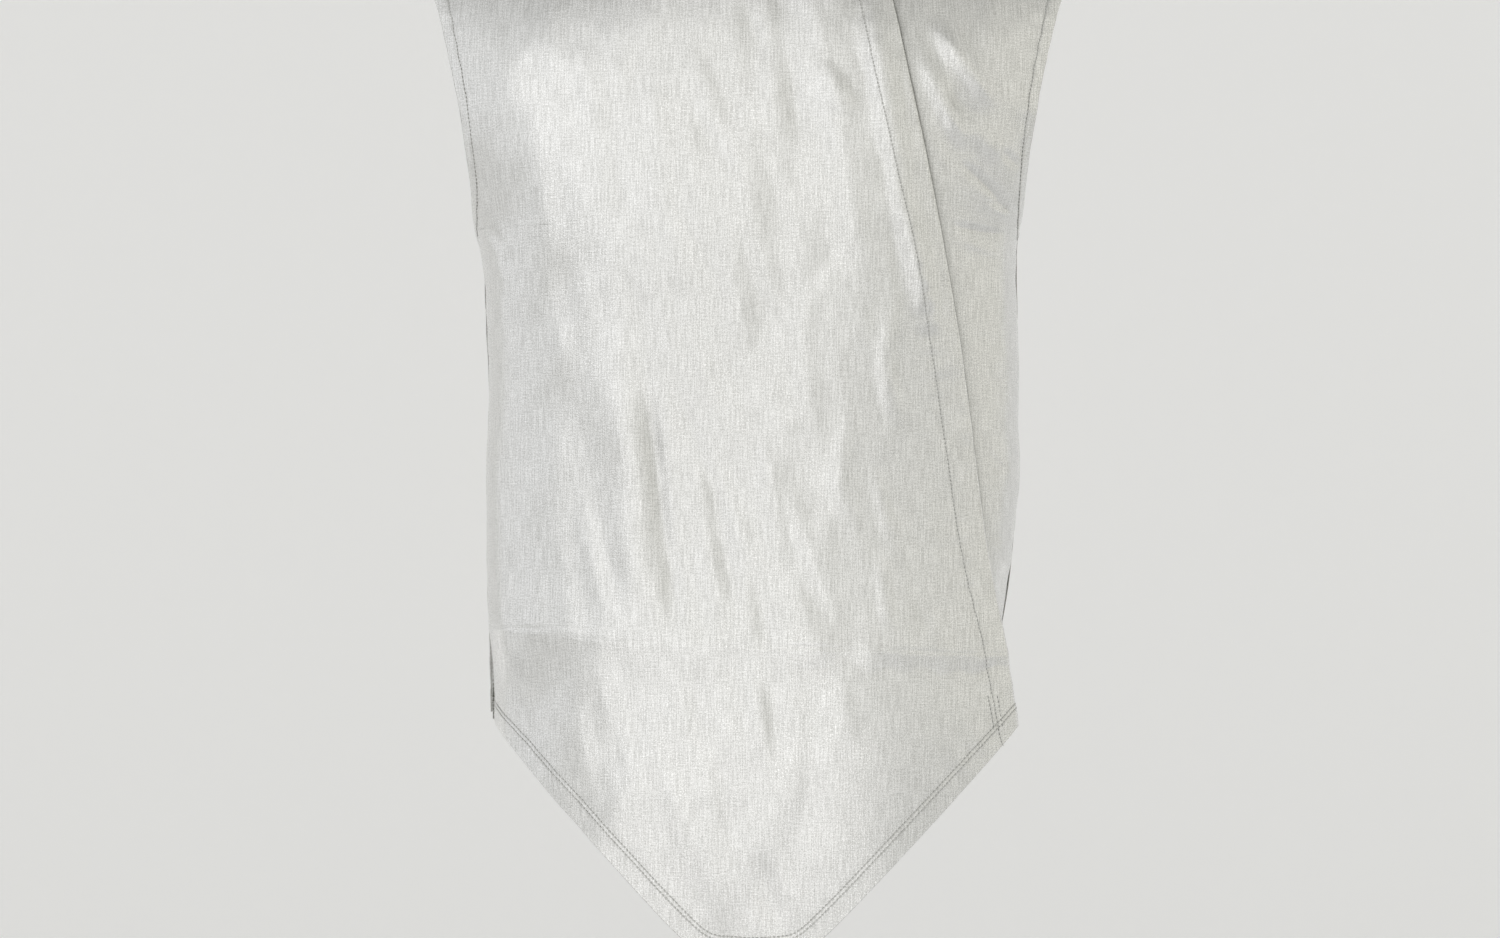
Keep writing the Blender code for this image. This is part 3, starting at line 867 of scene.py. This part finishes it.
def makeUpperFront():
    side, sizes = upperFront, upperFrontSizes
    lapStart = lambda z: formAngle(side, flapX(z) - sizes["underlap"], z)
    seam = lambda z: panelEdge(side, z, -1)
    neckShare = shareAtTop(side, seam, lapStart, -form["neckHalf"])
    across = np.concatenate([
        neckShare * stepShares(sizes["columnLengths"][0], fineStart=True)[:-1],
        neckShare + (1 - neckShare) * stepShares(sizes["columnLengths"][1])[:-1],
    ])
    inside = sizes["underlap"] * (1 - stepShares(sizes["underlap"], fineEnd=True))
    columns = len(across) + len(inside)
    share = np.concatenate([across, np.ones(len(inside))])
    lap = np.concatenate([np.zeros(len(across)), inside])
    isLap = np.arange(columns) >= len(across)

    def angleAt(z):
        spread = seam(z) + (lapStart(z) - seam(z)) * share
        return np.where(isLap, formAngle(side, flapX(z) - lap, z), spread)

    rows = rowSteps(sizes["rowLengths"], fineSplit=True)
    grid = panelGrid(side, angleAt, columns, pointedHemZ, rows, packingCreaseZ)
    x, z = grid[..., 0], grid[..., 2]
    angle = angleAt(z)
    fromEdge = flapX(z) - x
    ramp = np.interp(z, sizes["lapRampZ"], sizes["lapRamp"])
    lapped = smoothStep((sizes["underlap"] - fromEdge) / ramp + 1)
    toEdge = smoothStep(1 - fromEdge / sizes["edgeFall"])
    stand = sizes["lapStand"] + (sizes["edgeStand"] - sizes["lapStand"]) * toEdge
    creases = creaseLift(x, z, upperFrontCreases) + rippleLift(x, z, *sizes["ripple"])
    belowCrease = packingCreaseZ(x) - z
    creases += sizes["creaseRise"] * smoothStep(1 + belowCrease / sizes["creaseReach"])
    first, second = sizes["creaseSpans"]
    dent = np.interp(np.sin(x / first) + np.sin(x / second + 1.1), (-1.2, 1.2), sizes["creaseDent"])
    creases -= dent * np.exp(-(belowCrease / sizes["creaseWidth"]) ** 2)
    creases -= sizes["lowFall"] * np.sin(math.pi / 2 * np.clip(belowCrease / sizes["lowReach"], 0, 1))
    lift = lapped * (stand + np.maximum(creases, 0)) + (1 - lapped) * creases

    armholeRows = grid[:, 0, 2] > form["armpitZ"]
    armhole = grid[armholeRows, 0]
    sideLine = grid[~armholeRows, 0]
    shoulder = grid[-1, np.abs(grid[-1, :, 0]) >= form["neckHalf"]]
    shoulder = shoulder[shoulder[:, 0] < 0]
    edges = {
        "armhole": sewnEdge(grid, armhole, "armhole", 21),
        "hem": sewnEdge(grid, grid[0], "hem", 22),
        "flap": sewnEdge(grid, grid[:, -1], "flap", 23),
        "flapTape": sewnEdge(grid, grid[:, -1], "flapTape", 24),
        "side": sewnEdge(grid, sideLine, "seam", 25),
        "shoulder": sewnEdge(grid, shoulder, "seam", 26),
    }
    lift = lift + sum(found[0] for found in edges.values())
    roll = np.clip(1 - edges["flap"][1] / sizes["edgeRoll"], 0, 1)
    lift -= sizes["rollFall"] * (1 - np.sqrt(1 - roll ** 2))
    inner = lifted(grid, side, lift)
    made, outer = clothShell("upperFront", inner, weaveCoords(side, grid, angle), form["clothThickness"])

    addStitchRows(outer, edges["armhole"][1], "armhole", True)
    addStitchRows(outer, edges["hem"][1], "hem", False)
    addStitchRows(outer, edges["flapTape"][1], "flapTape", True, fromEnd=True)
    lowZ, highZ = sizes["bartackZ"]
    for level in sizes["bartack"]:
        addStitches(outer, edges["flap"][1], level, True, fromEnd=True,
                    keep=lambda line: (line[:, 2] > lowZ) & (line[:, 2] < highZ))
    addStitchRows(outer, edges["side"][1], "seam", True, keep=belowArmpit)
    addStitchRows(outer, edges["shoulder"][1], "seam", False, fromEnd=True)

    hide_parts("front_right")
    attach(made, "root")
    return made


# The under front, from beneath the free edge to the left side seam
underFrontSizes = {
    "columnLength": 0.190,
    "rowLengths": (0.046, 0.340, 0.140, 0.200),
    "underlap": 0.052,
    "lapRamp": 0.030,
    "sewnRamp": 0.006,
    "stitchReach": 0.002,   # stitches go on this far beneath the free edge
    "ripple": (0.030, 1.8, 0.00032, 31),
    "flatCut": (0.200, 0.600),
    "flatArea": 0.095,
}

underFrontCreases = (
    (122, -92, 172, -156, 0, 7.0, 5.4),
    (130, -142, 168, -171, 0, 6.0, -1.6),
    (110, -108, 150, -186, 0, 6.5, 5.4),
    (151, -159, 173, -192, 0, 7.0, 1.6),
    (142, -191, 185, -228, -2, 3.0, -1.7),
    (132, -235, 184, -242, 1, 3.0, -1.5),
    (137, -244, 184, -255, 0, 4.0, 1.0),
    (163, -217, 187, -224, 0, 3.0, -0.9),
    (173, -182, 189, -195, 0, 3.0, -0.8),
    (120, -165, 131, -218, 0, 4.5, 2.2),
    (128, -178, 134, -200, 0, 4.0, 1.4),
    (162, -388, 181, -410, 0, 3.0, -1.2),
    (155, -405, 173, -425, 0, 4.0, 0.9),
    (173, -449, 179, -480, 0, 6.0, 1.4),
    (150, -309, 178, -324, 0, 6.0, -0.8),
    (154, -346, 166, -391, 0, 7.0, 1.0),
)


def makeUnderFront():
    side, sizes = underFront, underFrontSizes
    edge = lambda z: formAngle(side, coveredX(z), z)
    seam = lambda z: panelEdge(side, z, 1)
    inside = sizes["underlap"] * (1 - stepShares(sizes["underlap"]))
    across = stepShares(sizes["columnLength"], fineEnd=True)[1:]
    columns = len(inside) + len(across)
    share = np.concatenate([np.zeros(len(inside)), across])
    lap = np.concatenate([inside, np.zeros(len(across))])
    isLap = np.arange(columns) < len(inside)

    def angleAt(z):
        spread = edge(z) + (seam(z) - edge(z)) * share
        return np.where(isLap, formAngle(side, coveredX(z) - lap, z), spread)

    grid = panelGrid(side, angleAt, columns, levelHemZ, rowSteps(sizes["rowLengths"]))
    x, z = grid[..., 0], grid[..., 2]
    uncovered = smoothStep((x - flapX(z)) / sizes["lapRamp"])
    creases = creaseLift(x, z, underFrontCreases) + rippleLift(x, z, *sizes["ripple"])
    armholeRows = grid[:, -1, 2] > form["armpitZ"]
    shoulder = grid[-1, grid[-1, :, 0] >= form["neckHalf"]]
    edges = {
        "armhole": sewnEdge(grid, grid[armholeRows, -1], "armhole", 41),
        "hem": sewnEdge(grid, grid[0], "hem", 42),
        "side": sewnEdge(grid, grid[~armholeRows, -1], "seam", 43),
        "shoulder": sewnEdge(grid, shoulder, "seam", 44),
    }
    sewn = sum(found[0] for found in edges.values())
    lift = uncovered * creases + smoothStep((x - flapX(z)) / sizes["sewnRamp"] + 1) * sewn
    inner = lifted(grid, side, lift)
    made, outer = clothShell("underFront", inner, weaveCoords(side, grid, angleAt(z)), form["clothThickness"])

    clear = lambda line: line[:, 0] > flapX(line[:, 2]) - sizes["stitchReach"]
    addStitchRows(outer, edges["armhole"][1], "armhole", True, fromEnd=True, keep=clear)
    addStitchRows(outer, edges["side"][1], "seam", True, fromEnd=True,
                  keep=lambda line: belowArmpit(line) & clear(line))
    addStitchRows(outer, edges["shoulder"][1], "seam", False, fromEnd=True, keep=clear)

    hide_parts("front_left")
    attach(made, "root")
    return made


# The back, from side seam to side seam
backSizes = {
    "columnLengths": (0.150, 0.160, 0.150),
    "rowLengths": (0.046, 0.294, 0.090, 0.150),
    "ripple": (0.045, 2.2, 0.00040, 51),
    "flatCut": (0.460, 0.640),
    "flatArea": 0.277,
}

backCreases = (
    # large
    (-150, -100, -60, -190, 0, 18.0, -3.2),
    (155, -110, 70, -200, 0, 18.0, -3.0),
    (-160, -400, -50, -440, 0, 16.0, 3.6),
    (165, -390, 50, -450, 0, 16.0, 3.4),
    (-20, -280, -35, -520, 0, 22.0, -3.4),
    (90, -300, 70, -540, 0, 18.0, 3.0),
    (-170, -521, 170, -523, 0, 10.0, -1.4),
    # smaller, between them
    (-120, -140, -88, -232, 4, 8.0, -1.6),
    (-60, -90, -28, -190, -3, 7.0, 1.3),
    (112, -150, 84, -262, -4, 8.0, -1.7),
    (30, -100, 12, -205, 2, 6.0, -1.0),
    (-172, -236, -140, -262, 0, 5.0, -1.5),
    (-176, -250, -146, -300, 2, 5.0, 1.1),
    (170, -240, 136, -270, 0, 5.0, -1.4),
    (176, -262, 150, -318, -2, 5.0, 1.1),
    (-110, -300, -92, -420, 4, 9.0, 1.6),
    (20, -330, 38, -470, -4, 7.0, -1.5),
    (130, -330, 120, -430, 3, 7.0, -1.3),
    (-84, -440, -70, -560, 2, 7.0, -1.4),
    (8, -470, -4, -570, 0, 6.0, 1.1),
    (118, -455, 128, -560, -2, 7.0, 1.3),
)


def makeBack():
    side, sizes = backSide, backSizes
    right = lambda z: panelEdge(side, z, -1)
    left = lambda z: panelEdge(side, z, 1)
    rightNeck = shareAtTop(side, right, left, -form["neckHalf"])
    leftNeck = shareAtTop(side, right, left, form["neckHalf"])
    rightLength, neckLength, leftLength = sizes["columnLengths"]
    share = np.concatenate([
        rightNeck * stepShares(rightLength, fineStart=True)[:-1],
        rightNeck + (leftNeck - rightNeck) * stepShares(neckLength)[:-1],
        leftNeck + (1 - leftNeck) * stepShares(leftLength, fineEnd=True),
    ])
    columns = len(share)

    def angleAt(z):
        return right(z) + (left(z) - right(z)) * share

    grid = panelGrid(side, angleAt, columns, levelHemZ, rowSteps(sizes["rowLengths"]))
    x, z = grid[..., 0], grid[..., 2]
    creases = creaseLift(x, z, backCreases) + rippleLift(x, z, *sizes["ripple"])
    armholeRows = grid[:, 0, 2] > form["armpitZ"]
    top = grid[-1]
    edges = {
        "rightArmhole": sewnEdge(grid, grid[armholeRows, 0], "armhole", 61),
        "leftArmhole": sewnEdge(grid, grid[armholeRows, -1], "armhole", 62),
        "hem": sewnEdge(grid, grid[0], "hem", 63),
        "rightSide": sewnEdge(grid, grid[~armholeRows, 0], "seam", 64),
        "leftSide": sewnEdge(grid, grid[~armholeRows, -1], "seam", 65),
        "rightShoulder": sewnEdge(grid, top[top[:, 0] <= -form["neckHalf"]], "seam", 66),
        "leftShoulder": sewnEdge(grid, top[top[:, 0] >= form["neckHalf"]], "seam", 67),
    }
    inner = lifted(grid, side, creases + sum(found[0] for found in edges.values()))
    coords = weaveCoords(side, grid, angleAt(z))
    made, outer = clothShell("backPanel", inner[:, ::-1], coords[:, ::-1], form["clothThickness"])

    outward = lambda away, *rest, **more: addStitchRows(outer, away[:, ::-1], *rest, **more)
    outward(edges["rightArmhole"][1], "armhole", True, fromEnd=True)
    outward(edges["leftArmhole"][1], "armhole", True)
    outward(edges["hem"][1], "hem", False)
    outward(edges["rightSide"][1], "seam", True, fromEnd=True, keep=belowArmpit)
    outward(edges["leftSide"][1], "seam", True, keep=belowArmpit)
    outward(edges["rightShoulder"][1], "seam", False, fromEnd=True)
    outward(edges["leftShoulder"][1], "seam", False, fromEnd=True)

    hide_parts("back")
    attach(made, "root")
    return made


# The stand collar, one strip round the neck whose outer end laps over its inner end
collarSizes = {
    "rise": 0.037,
    "tuck": 0.004,
    "gap": 0.0005,
    "layerGap": 0.0003,
    "lean": 0.955,
    "start": 42.0,
    "end": 450.0,
    "lapFull": 100.0,
    "lapGone": 132.0,
    "turns": 190,
    "rows": 18,
    "edgeShare": 0.25,      # how much of the edge's sewn form the stiff band takes
    "hiddenStitches": 14,   # of the stitch line's points, beneath the lap
    "flatCut": (0.530, 0.045),
}


def makeCollar():
    sizes = collarSizes
    angle = np.linspace(sizes["start"], sizes["end"], sizes["turns"] + 1)
    turn = np.radians(angle)
    under = 1 - smoothStep((angle - sizes["lapFull"]) / (sizes["lapGone"] - sizes["lapFull"]))
    inset = form["clothThickness"] + sizes["gap"] + (form["clothThickness"] + sizes["layerGap"]) * under
    ahead = np.cos(turn) > 0
    x = (form["neckHalf"] - inset) * np.sin(turn)
    y = -(np.where(ahead, form["neckFront"], form["neckBack"]) - inset) * np.cos(turn)
    atSeam = form["neckHalf"] * np.sin(turn)
    seam = np.where(ahead, neckZ(atSeam, "front"), neckZ(atSeam, "back"))
    foot, head = seam - sizes["tuck"], seam + sizes["rise"]
    share = np.linspace(0, 1, sizes["rows"] + 1)[:, None]
    lean = 1 + (sizes["lean"] - 1) * share
    grid = np.stack([x * lean, y * lean, foot + (head - foot) * share], axis=-1)
    length = np.concatenate(([0], np.cumsum(np.hypot(np.diff(x), np.diff(y)))))
    coords = np.stack([length + 0 * share, (head - foot) * share], axis=-1)
    top, away = sewnEdge(grid, grid[-1], "collarEdge", 71)
    grid = grid + gridNormals(grid) * (sizes["edgeShare"] * top)[..., None]
    made, outer = clothShell("standCollar", grid, coords, form["clothThickness"])
    addStitchRows(outer, away, "collarEdge", False, fromEnd=True,
                  keep=lambda line: np.arange(len(line)) > sizes["hiddenStitches"])

    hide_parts("collar")
    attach(made, "root")
    return made


# Stitches, set along their lines by Geometry Nodes
stitchSizes = {
    "pitch": 0.0029,
    "length": 0.0021,
    "radius": 0.00022,
    "arch": 0.00030,
    "sides": 5,
}


def stitchTree():
    tree = bpy.data.node_groups.new("stitchRow", "GeometryNodeTree")
    tree.interface.new_socket(name="Geometry", in_out="INPUT", socket_type="NodeSocketGeometry")
    for label, key in (("Pitch", "pitch"), ("Length", "length"), ("Radius", "radius"), ("Arch", "arch")):
        socket = tree.interface.new_socket(name=label, in_out="INPUT", socket_type="NodeSocketFloat")
        socket.default_value = stitchSizes[key]
    tree.interface.new_socket(name="Thread", in_out="INPUT", socket_type="NodeSocketMaterial")
    tree.interface.new_socket(name="Geometry", in_out="OUTPUT", socket_type="NodeSocketGeometry")
    add, link = tree.nodes.new, tree.links.new
    into, out = add("NodeGroupInput"), add("NodeGroupOutput")

    curve = add("GeometryNodeMeshToCurve")
    link(into.outputs["Geometry"], curve.inputs["Mesh"])
    spaced = add("GeometryNodeResampleCurve")
    spaced.mode = "LENGTH"
    link(curve.outputs["Curve"], spaced.inputs["Curve"])
    link(into.outputs["Pitch"], spaced.inputs["Length"])

    start, middle, end = add("ShaderNodeCombineXYZ"), add("ShaderNodeCombineXYZ"), add("ShaderNodeCombineXYZ")
    link(mathNode(tree, "MULTIPLY", into.outputs["Length"], -0.5), start.inputs["X"])
    link(mathNode(tree, "MULTIPLY", into.outputs["Arch"], 2.0), middle.inputs["Z"])
    link(mathNode(tree, "MULTIPLY", into.outputs["Length"], 0.5), end.inputs["X"])
    arc = add("GeometryNodeCurveQuadraticBezier")
    arc.inputs["Resolution"].default_value = 3
    link(start.outputs[0], arc.inputs["Start"])
    link(middle.outputs[0], arc.inputs["Middle"])
    link(end.outputs[0], arc.inputs["End"])
    ring = add("GeometryNodeCurvePrimitiveCircle")
    ring.inputs["Resolution"].default_value = stitchSizes["sides"]
    link(into.outputs["Radius"], ring.inputs["Radius"])
    thread = add("GeometryNodeCurveToMesh")
    thread.inputs["Fill Caps"].default_value = True
    link(arc.outputs["Curve"], thread.inputs["Curve"])
    link(ring.outputs["Curve"], thread.inputs["Profile Curve"])

    tangent = add("GeometryNodeInputTangent")
    outward = add("GeometryNodeInputNamedAttribute")
    outward.data_type = "FLOAT_VECTOR"
    outward.inputs["Name"].default_value = "outward"
    alongLine = add("FunctionNodeAlignEulerToVector")
    alongLine.axis = "X"
    link(tangent.outputs["Tangent"], alongLine.inputs["Vector"])
    upright = add("FunctionNodeAlignEulerToVector")
    upright.axis = "Z"
    upright.pivot_axis = "X"
    link(alongLine.outputs["Rotation"], upright.inputs["Rotation"])
    link(outward.outputs["Attribute"], upright.inputs["Vector"])
    placed = add("GeometryNodeInstanceOnPoints")
    link(spaced.outputs["Curve"], placed.inputs["Points"])
    link(thread.outputs["Mesh"], placed.inputs["Instance"])
    link(upright.outputs["Rotation"], placed.inputs["Rotation"])
    solid = add("GeometryNodeRealizeInstances")
    link(placed.outputs["Instances"], solid.inputs["Geometry"])
    finish = add("GeometryNodeSetMaterial")
    link(solid.outputs["Geometry"], finish.inputs["Geometry"])
    link(into.outputs["Thread"], finish.inputs["Material"])
    link(finish.outputs["Geometry"], out.inputs["Geometry"])
    return tree


def makeStitches():
    points, normals, edges = [], [], []
    for line, outward in stitchRuns:
        first = len(points)
        points += line.tolist()
        normals += outward.tolist()
        edges += [(first + k, first + k + 1) for k in range(len(line) - 1)]
    mesh = bpy.data.meshes.new("stitchLines")
    mesh.from_pydata(points, edges, [])
    attribute = mesh.attributes.new("outward", "FLOAT_VECTOR", "POINT")
    attribute.data.foreach_set("vector", np.array(normals, dtype=np.float32).ravel())
    lines = bpy.data.objects.new("stitchLines", mesh)
    bpy.context.scene.collection.objects.link(lines)
    tree = stitchTree()
    modifier = lines.modifiers.new("stitches", "NODES")
    modifier.node_group = tree
    for item in tree.interface.items_tree:
        if item.in_out == "INPUT" and item.name == "Thread":
            modifier[item.identifier] = sewingThread
    bpy.context.view_layer.update()
    ready = lines.evaluated_get(bpy.context.evaluated_depsgraph_get())
    solid = bpy.data.meshes.new_from_object(ready)
    solid.shade_smooth()
    solid.name = "topstitching"
    made = bpy.data.objects.new("topstitching", solid)
    bpy.context.scene.collection.objects.link(made)
    bpy.data.objects.remove(lines)
    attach(made, "root")
    triangles = sum(len(p.vertices) - 2 for p in solid.polygons)
    print(f"topstitching: {len(stitchRuns)} lines, {triangles} triangles")
    return made


makeUpperFront()
makeUnderFront()
makeBack()
makeCollar()
makeStitches()

for name in ("tape_hook", "tape_loop"):
    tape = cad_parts[name]
    tape.data.materials.clear()
    tape.data.materials.append(fasteningTape)
print("tapes finished")


# Studio: a pale floor that turns up into a wall, soft light and the camera
studio = {
    "floorZ": -1.45,
    "wallY": 5.0,
    "turnRadius": 1.4,
    "halfWidth": 8.0,
    "frontY": -6.0,
    "wallTop": 5.0,
    "turnSteps": 24,
    "floorColour": (0.980, 0.980, 0.985),
    "floorRoughness": 0.9,
    "floorSpecular": 0.2,
    "surroundRight": (0.995, 1.000, 1.000),  # on the wearer's right
    "surroundLeft": (0.890, 0.882, 0.820),
    "ceilingShare": 0.74,    # the surround is darker overhead, over this range of upward direction
    "ceilingRange": (0.45, 0.85),
    "surroundStrength": 0.86,
    # bearing from straight ahead (positive to the wearer's left), height angle, degrees across,
    # degrees high, distance, brightness
    "softboxes": {
        "topSoftbox": (-16.0, 41.0, 40.0, 36.0, 4.2, 0.15),
        "outerStrip": (-48.0, 18.8, 12.4, 38.0, 1.16, 0.22),
        "leftStrip": (-31.5, 7.75, 19.0, 30.5, 4.2, 0.23),
        "middleStrip": (-12.5, 7.75, 19.0, 30.5, 4.2, 0.17),
        "rightStrip": (0.75, 7.75, 7.5, 30.5, 4.2, 0.31),
        "flapStrip": (21.0, 18.0, 32.0, 28.0, 1.6, 0.06),
        "lowSoftbox": (-8.5, -19.0, 51.0, 20.0, 1.9, 0.275),
        "backRightStrip": (-136.0, -21.0, 26.0, 23.0, 1.7, 0.24),
        "backMiddleStrip": (176.0, -21.0, 18.0, 23.0, 1.7, 0.20),
        "backLeftStrip": (134.0, -21.0, 22.0, 23.0, 1.7, 0.24),
    },
    "softboxColour": (1.0, 0.985, 0.990),
    "aimZ": -0.404,
    "cameraDistance": 3.2,
    "cameraX": 0.0014,
    "cameraZ": -0.404,
    "frameWidth": 1.065,     # metres across the picture at the body's side
    "sensor": 36.0,
}


def makeStudio():
    steps, radius = studio["turnSteps"], studio["turnRadius"]
    profile = [(studio["frontY"], studio["floorZ"])]
    for k in range(steps + 1):
        turn = math.pi / 2 * k / steps
        profile.append((studio["wallY"] - radius + radius * math.sin(turn),
                        studio["floorZ"] + radius - radius * math.cos(turn)))
    profile.append((studio["wallY"], studio["wallTop"]))
    vertices, faces = [], []
    for y, z in profile:
        vertices += [(-studio["halfWidth"], y, z), (studio["halfWidth"], y, z)]
    for k in range(len(profile) - 1):
        faces.append((2 * k, 2 * k + 1, 2 * k + 3, 2 * k + 2))
    mesh = bpy.data.meshes.new("studioFloor")
    mesh.from_pydata(vertices, [], faces)
    mesh.shade_smooth()
    made, tree, shader = newMaterial("paleFloor")
    shader.inputs["Base Color"].default_value = (*studio["floorColour"], 1)
    shader.inputs["Roughness"].default_value = studio["floorRoughness"]
    shader.inputs["Specular IOR Level"].default_value = studio["floorSpecular"]
    mesh.materials.append(made)
    floor = bpy.data.objects.new("studioFloor", mesh)
    bpy.context.scene.collection.objects.link(floor)

    world = bpy.data.worlds.new("softSurround")
    world.use_nodes = True
    tree = world.node_tree
    background = tree.nodes["Background"]
    direction = tree.nodes.new("ShaderNodeTexCoord")
    split = tree.nodes.new("ShaderNodeSeparateXYZ")
    tree.links.new(direction.outputs["Generated"], split.inputs["Vector"])
    sideways = remap(tree, split.outputs["X"], -1.0, 1.0)
    surround = mixColour(tree, sideways, studio["surroundRight"], studio["surroundLeft"])
    tree.links.new(surround, background.inputs["Color"])
    full = studio["surroundStrength"]
    strength = remap(tree, split.outputs["Z"], *studio["ceilingRange"], full, full * studio["ceilingShare"])
    tree.links.new(strength, background.inputs["Strength"])
    bpy.context.scene.world = world

    for name, (bearing, rise, across, high, distance, brightness) in studio["softboxes"].items():
        light = bpy.data.lights.new(name, "AREA")
        light.shape = "RECTANGLE"
        light.size = 2 * distance * math.tan(math.radians(across / 2))
        light.size_y = 2 * distance * math.tan(math.radians(high / 2))
        light.energy = brightness * math.pi * light.size * light.size_y
        light.color = studio["softboxColour"]
        softbox = bpy.data.objects.new(name, light)
        turn, lift = math.radians(bearing), math.radians(rise)
        level = distance * math.cos(lift)
        height = studio["aimZ"] + distance * math.sin(lift)
        softbox.location = (level * math.sin(turn), -level * math.cos(turn), height)
        softbox.rotation_euler = (math.pi / 2 - lift, 0, turn)
        softbox.visible_camera = False
        bpy.context.scene.collection.objects.link(softbox)


def makeCamera():
    camera = bpy.data.cameras.new("camera")
    camera.sensor_fit = "HORIZONTAL"
    camera.sensor_width = studio["sensor"]
    camera.lens = studio["sensor"] * studio["cameraDistance"] / studio["frameWidth"]
    holder = bpy.data.objects.new("camera", camera)
    holder.location = (studio["cameraX"], -studio["cameraDistance"], studio["cameraZ"])
    holder.rotation_euler = (math.pi / 2, 0, 0)
    bpy.context.scene.collection.objects.link(holder)
    bpy.context.scene.camera = holder
    bpy.context.scene.view_settings.view_transform = "Standard"
    bpy.context.scene.view_settings.look = "None"


makeStudio()
makeCamera()
print("studio ready")
